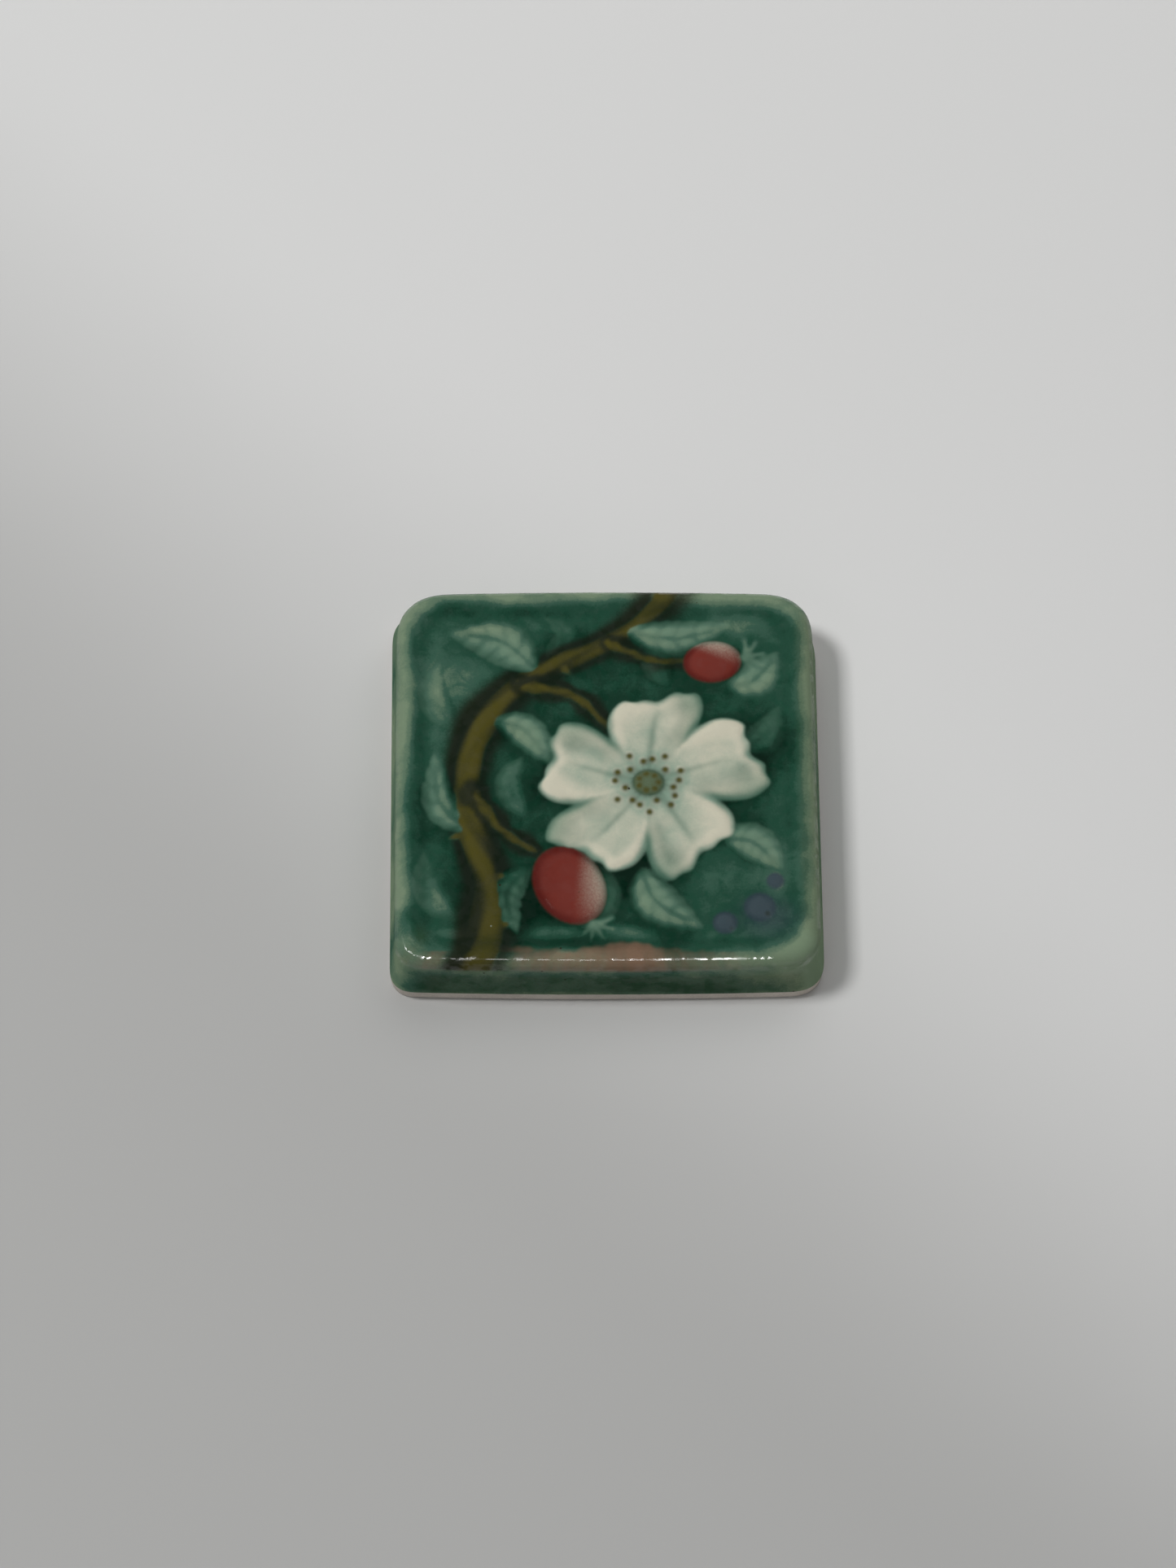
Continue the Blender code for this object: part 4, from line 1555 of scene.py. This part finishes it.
    def write_layers(self, mesh: bpy.types.Mesh, face: dict[str, Array], side: dict[str, Array]) -> None:
        """Stores the layers of the face and of the side as attributes.

        Args:
            mesh: The finished mesh.
            face: The layers of the face.
            side: The same layers down the side.
        """
        for name, values in face.items():
            whole = np.concatenate([values, side[name]])
            layer = mesh.attributes.new(name, "FLOAT", "POINT")
            layer.data.foreach_set("value", whole.astype(np.float32))


def seen_from(azimuth: float, elevation: float) -> Vector:
    """The way from the tile to something, by degrees from the near side and above the floor."""
    around, up = math.radians(azimuth), math.radians(elevation)
    return Vector((math.sin(around) * math.cos(up), -math.cos(around) * math.cos(up), math.sin(up)))


@dataclass(frozen=True)
class Lamp:
    """A soft area light that points at the tile. A glint lamp shows in reflections only."""

    name: str
    azimuth: float
    elevation: float
    distance: float
    size: tuple[float, float]
    power: float
    glint: bool = False

    def hang(self) -> bpy.types.Object:
        """Makes the light and points it at the tile.

        Returns:
            The light's object.
        """
        light = bpy.data.lights.new(self.name, "AREA")
        light.shape = "RECTANGLE"
        light.size, light.size_y = self.size
        light.energy = self.power
        lamp = link(self.name, light)
        away = seen_from(self.azimuth, self.elevation)
        lamp.location = away * self.distance
        lamp.rotation_euler = away.to_track_quat("Z", "Y").to_euler()
        lamp.visible_diffuse = not self.glint
        lamp.visible_glossy = self.glint
        return lamp


@dataclass(frozen=True)
class Studio:
    """The pale floor with painted light falloff and painted shade, the soft lights and the camera."""

    floor_side: float = 3.0
    # Painted light and shade: the floor's colour runs from a painted shade at the near left to painted light
    # at the far right. It stands in for the light's falloff and a soft shadow over the near left.
    floor_painted_shade: Colour = (0.57, 0.57, 0.558)
    floor_painted_light: Colour = (0.89, 0.89, 0.88)
    painted_falloff_ends: Point = (-0.060, 0.052)
    painted_falloff_slant: float = 0.9
    painted_falloff_cloud: float = 0.03
    painted_falloff_drift: float = 0.008
    floor_roughness: float = 0.9
    floor_gloss: float = 0.2
    world_strength: float = 0.10
    camera_azimuth: float = -1.9703
    camera_elevation: float = 63.205
    camera_distance: float = 0.6830
    camera_roll: float = 1.686
    aim: tuple[float, float] = (-0.00202, 0.00298)
    focal_pixels: float = 7020.0
    image_height: float = 1927.0
    sensor: float = 36.0
    nearest: float = 0.01
    lamps: tuple[Lamp, ...] = (
        Lamp("key", -97, 62, 1.20, (0.25, 0.25), 6.3),
        Lamp("fill", 160, 60, 0.50, (0.50, 0.40), 0.62),
        Lamp("front fill", 8, 22, 0.60, (0.60, 0.20), 0.20),
        Lamp("faint glint", -1.0, 40, 0.80, (0.078, 0.10), 0.20, glint=True),
        Lamp("corner glint", -46, 46, 0.80, (0.42, 0.12), 13.0, glint=True),
        Lamp("left glint", -84, 41, 0.80, (0.46, 0.08), 2.4, glint=True),
    )
    panes: tuple[tuple[float, float, float], ...] = (
        (-15.0, 0.050, 2.6), (-8.0, 0.018, 0.80), (2.75, 0.006, 0.06), (3.52, 0.008, 0.20),
        (4.07, 0.0045, 0.11), (4.76, 0.008, 0.24), (5.34, 0.003, 0.07), (5.68, 0.004, 0.09),
        (6.40, 0.006, 0.22),
    )
    pane_elevation: float = 41.0
    pane_distance: float = 0.80
    pane_height: float = 0.20

    def lay_floor(self) -> bpy.types.Object:
        """Lays the floor, whose colour is painted light and shade: lighter toward the far right, darker
        toward the near left.

        Returns:
            The floor's object.
        """
        body = bmesh.new()
        bmesh.ops.create_grid(body, x_segments=1, y_segments=1, size=self.floor_side / 2)
        mesh = bpy.data.meshes.new("floor")
        body.to_mesh(mesh)
        body.free()
        floor = link("floor", mesh)
        board = NodeBoard("pale floor")
        # Painted light and shade: the floor grows lighter toward the far right and darker toward the near
        # left, and a soft noise wobbles the painted falloff.
        place = board.node("SeparateXYZ", {"Vector": board.place()})
        away = board.math("MULTIPLY_ADD", place.outputs["X"], self.painted_falloff_slant, place.outputs["Y"])
        away = board.math("MULTIPLY_ADD", board.noise(self.painted_falloff_cloud), self.painted_falloff_drift, away)
        colour = board.mix(board.remap(away, self.painted_falloff_ends), self.floor_painted_shade, self.floor_painted_light)
        gloss = self.floor_gloss
        board.shade({"Base Color": colour, "Roughness": self.floor_roughness, "Specular IOR Level": gloss})
        mesh.materials.append(board.material)
        return floor

    def light(self) -> None:
        """Hangs the lamps and the narrow panes of the near edge's glint, in the world's soft glow."""
        world = bpy.data.worlds.new("soft room")
        world.use_nodes = True
        background = world.node_tree.nodes["Background"]
        background.inputs["Color"].default_value = (1.0, 1.0, 1.0, 1.0)
        background.inputs["Strength"].default_value = self.world_strength
        bpy.context.scene.world = world
        for lamp in self.lamps:
            lamp.hang()
        for azimuth, width, power in self.panes:
            place = (azimuth, self.pane_elevation, self.pane_distance)
            Lamp(f"pane {azimuth}", *place, (width, self.pane_height), power, glint=True).hang()

    def set_camera(self) -> bpy.types.Object:
        """Sets the camera where the photograph was taken from.

        Returns:
            The camera's object.
        """
        data = bpy.data.cameras.new("camera")
        data.sensor_fit = "AUTO"
        data.sensor_width = self.sensor
        data.lens = self.sensor * self.focal_pixels / self.image_height
        data.clip_start = self.nearest
        camera = link("camera", data)
        around = math.radians(self.camera_azimuth)
        back = seen_from(self.camera_azimuth, self.camera_elevation)
        right = Vector((math.cos(around), math.sin(around), 0.0))
        turn = Matrix((right, back.cross(right), back)).transposed()
        turn = turn @ Matrix.Rotation(math.radians(self.camera_roll), 3, "Z")
        eye = Vector((*self.aim, 0.0)) + back * self.camera_distance
        camera.matrix_world = Matrix.LocRotScale(eye, turn, None)
        bpy.context.scene.camera = camera
        return camera


def main() -> None:
    """Builds the studio and the tile."""
    logging.basicConfig(level=logging.INFO, format="%(name)s: %(message)s")
    studio = Studio()
    studio.lay_floor()
    studio.light()
    studio.set_camera()
    bpy.context.scene.view_settings.view_transform = "Standard"

    tile = ReliefTile().build()
    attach(tile, "root")
    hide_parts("tile")
    LOG.info("%s: %d faces", tile.name, len(tile.data.polygons))


if __name__ == "__main__":
    main()
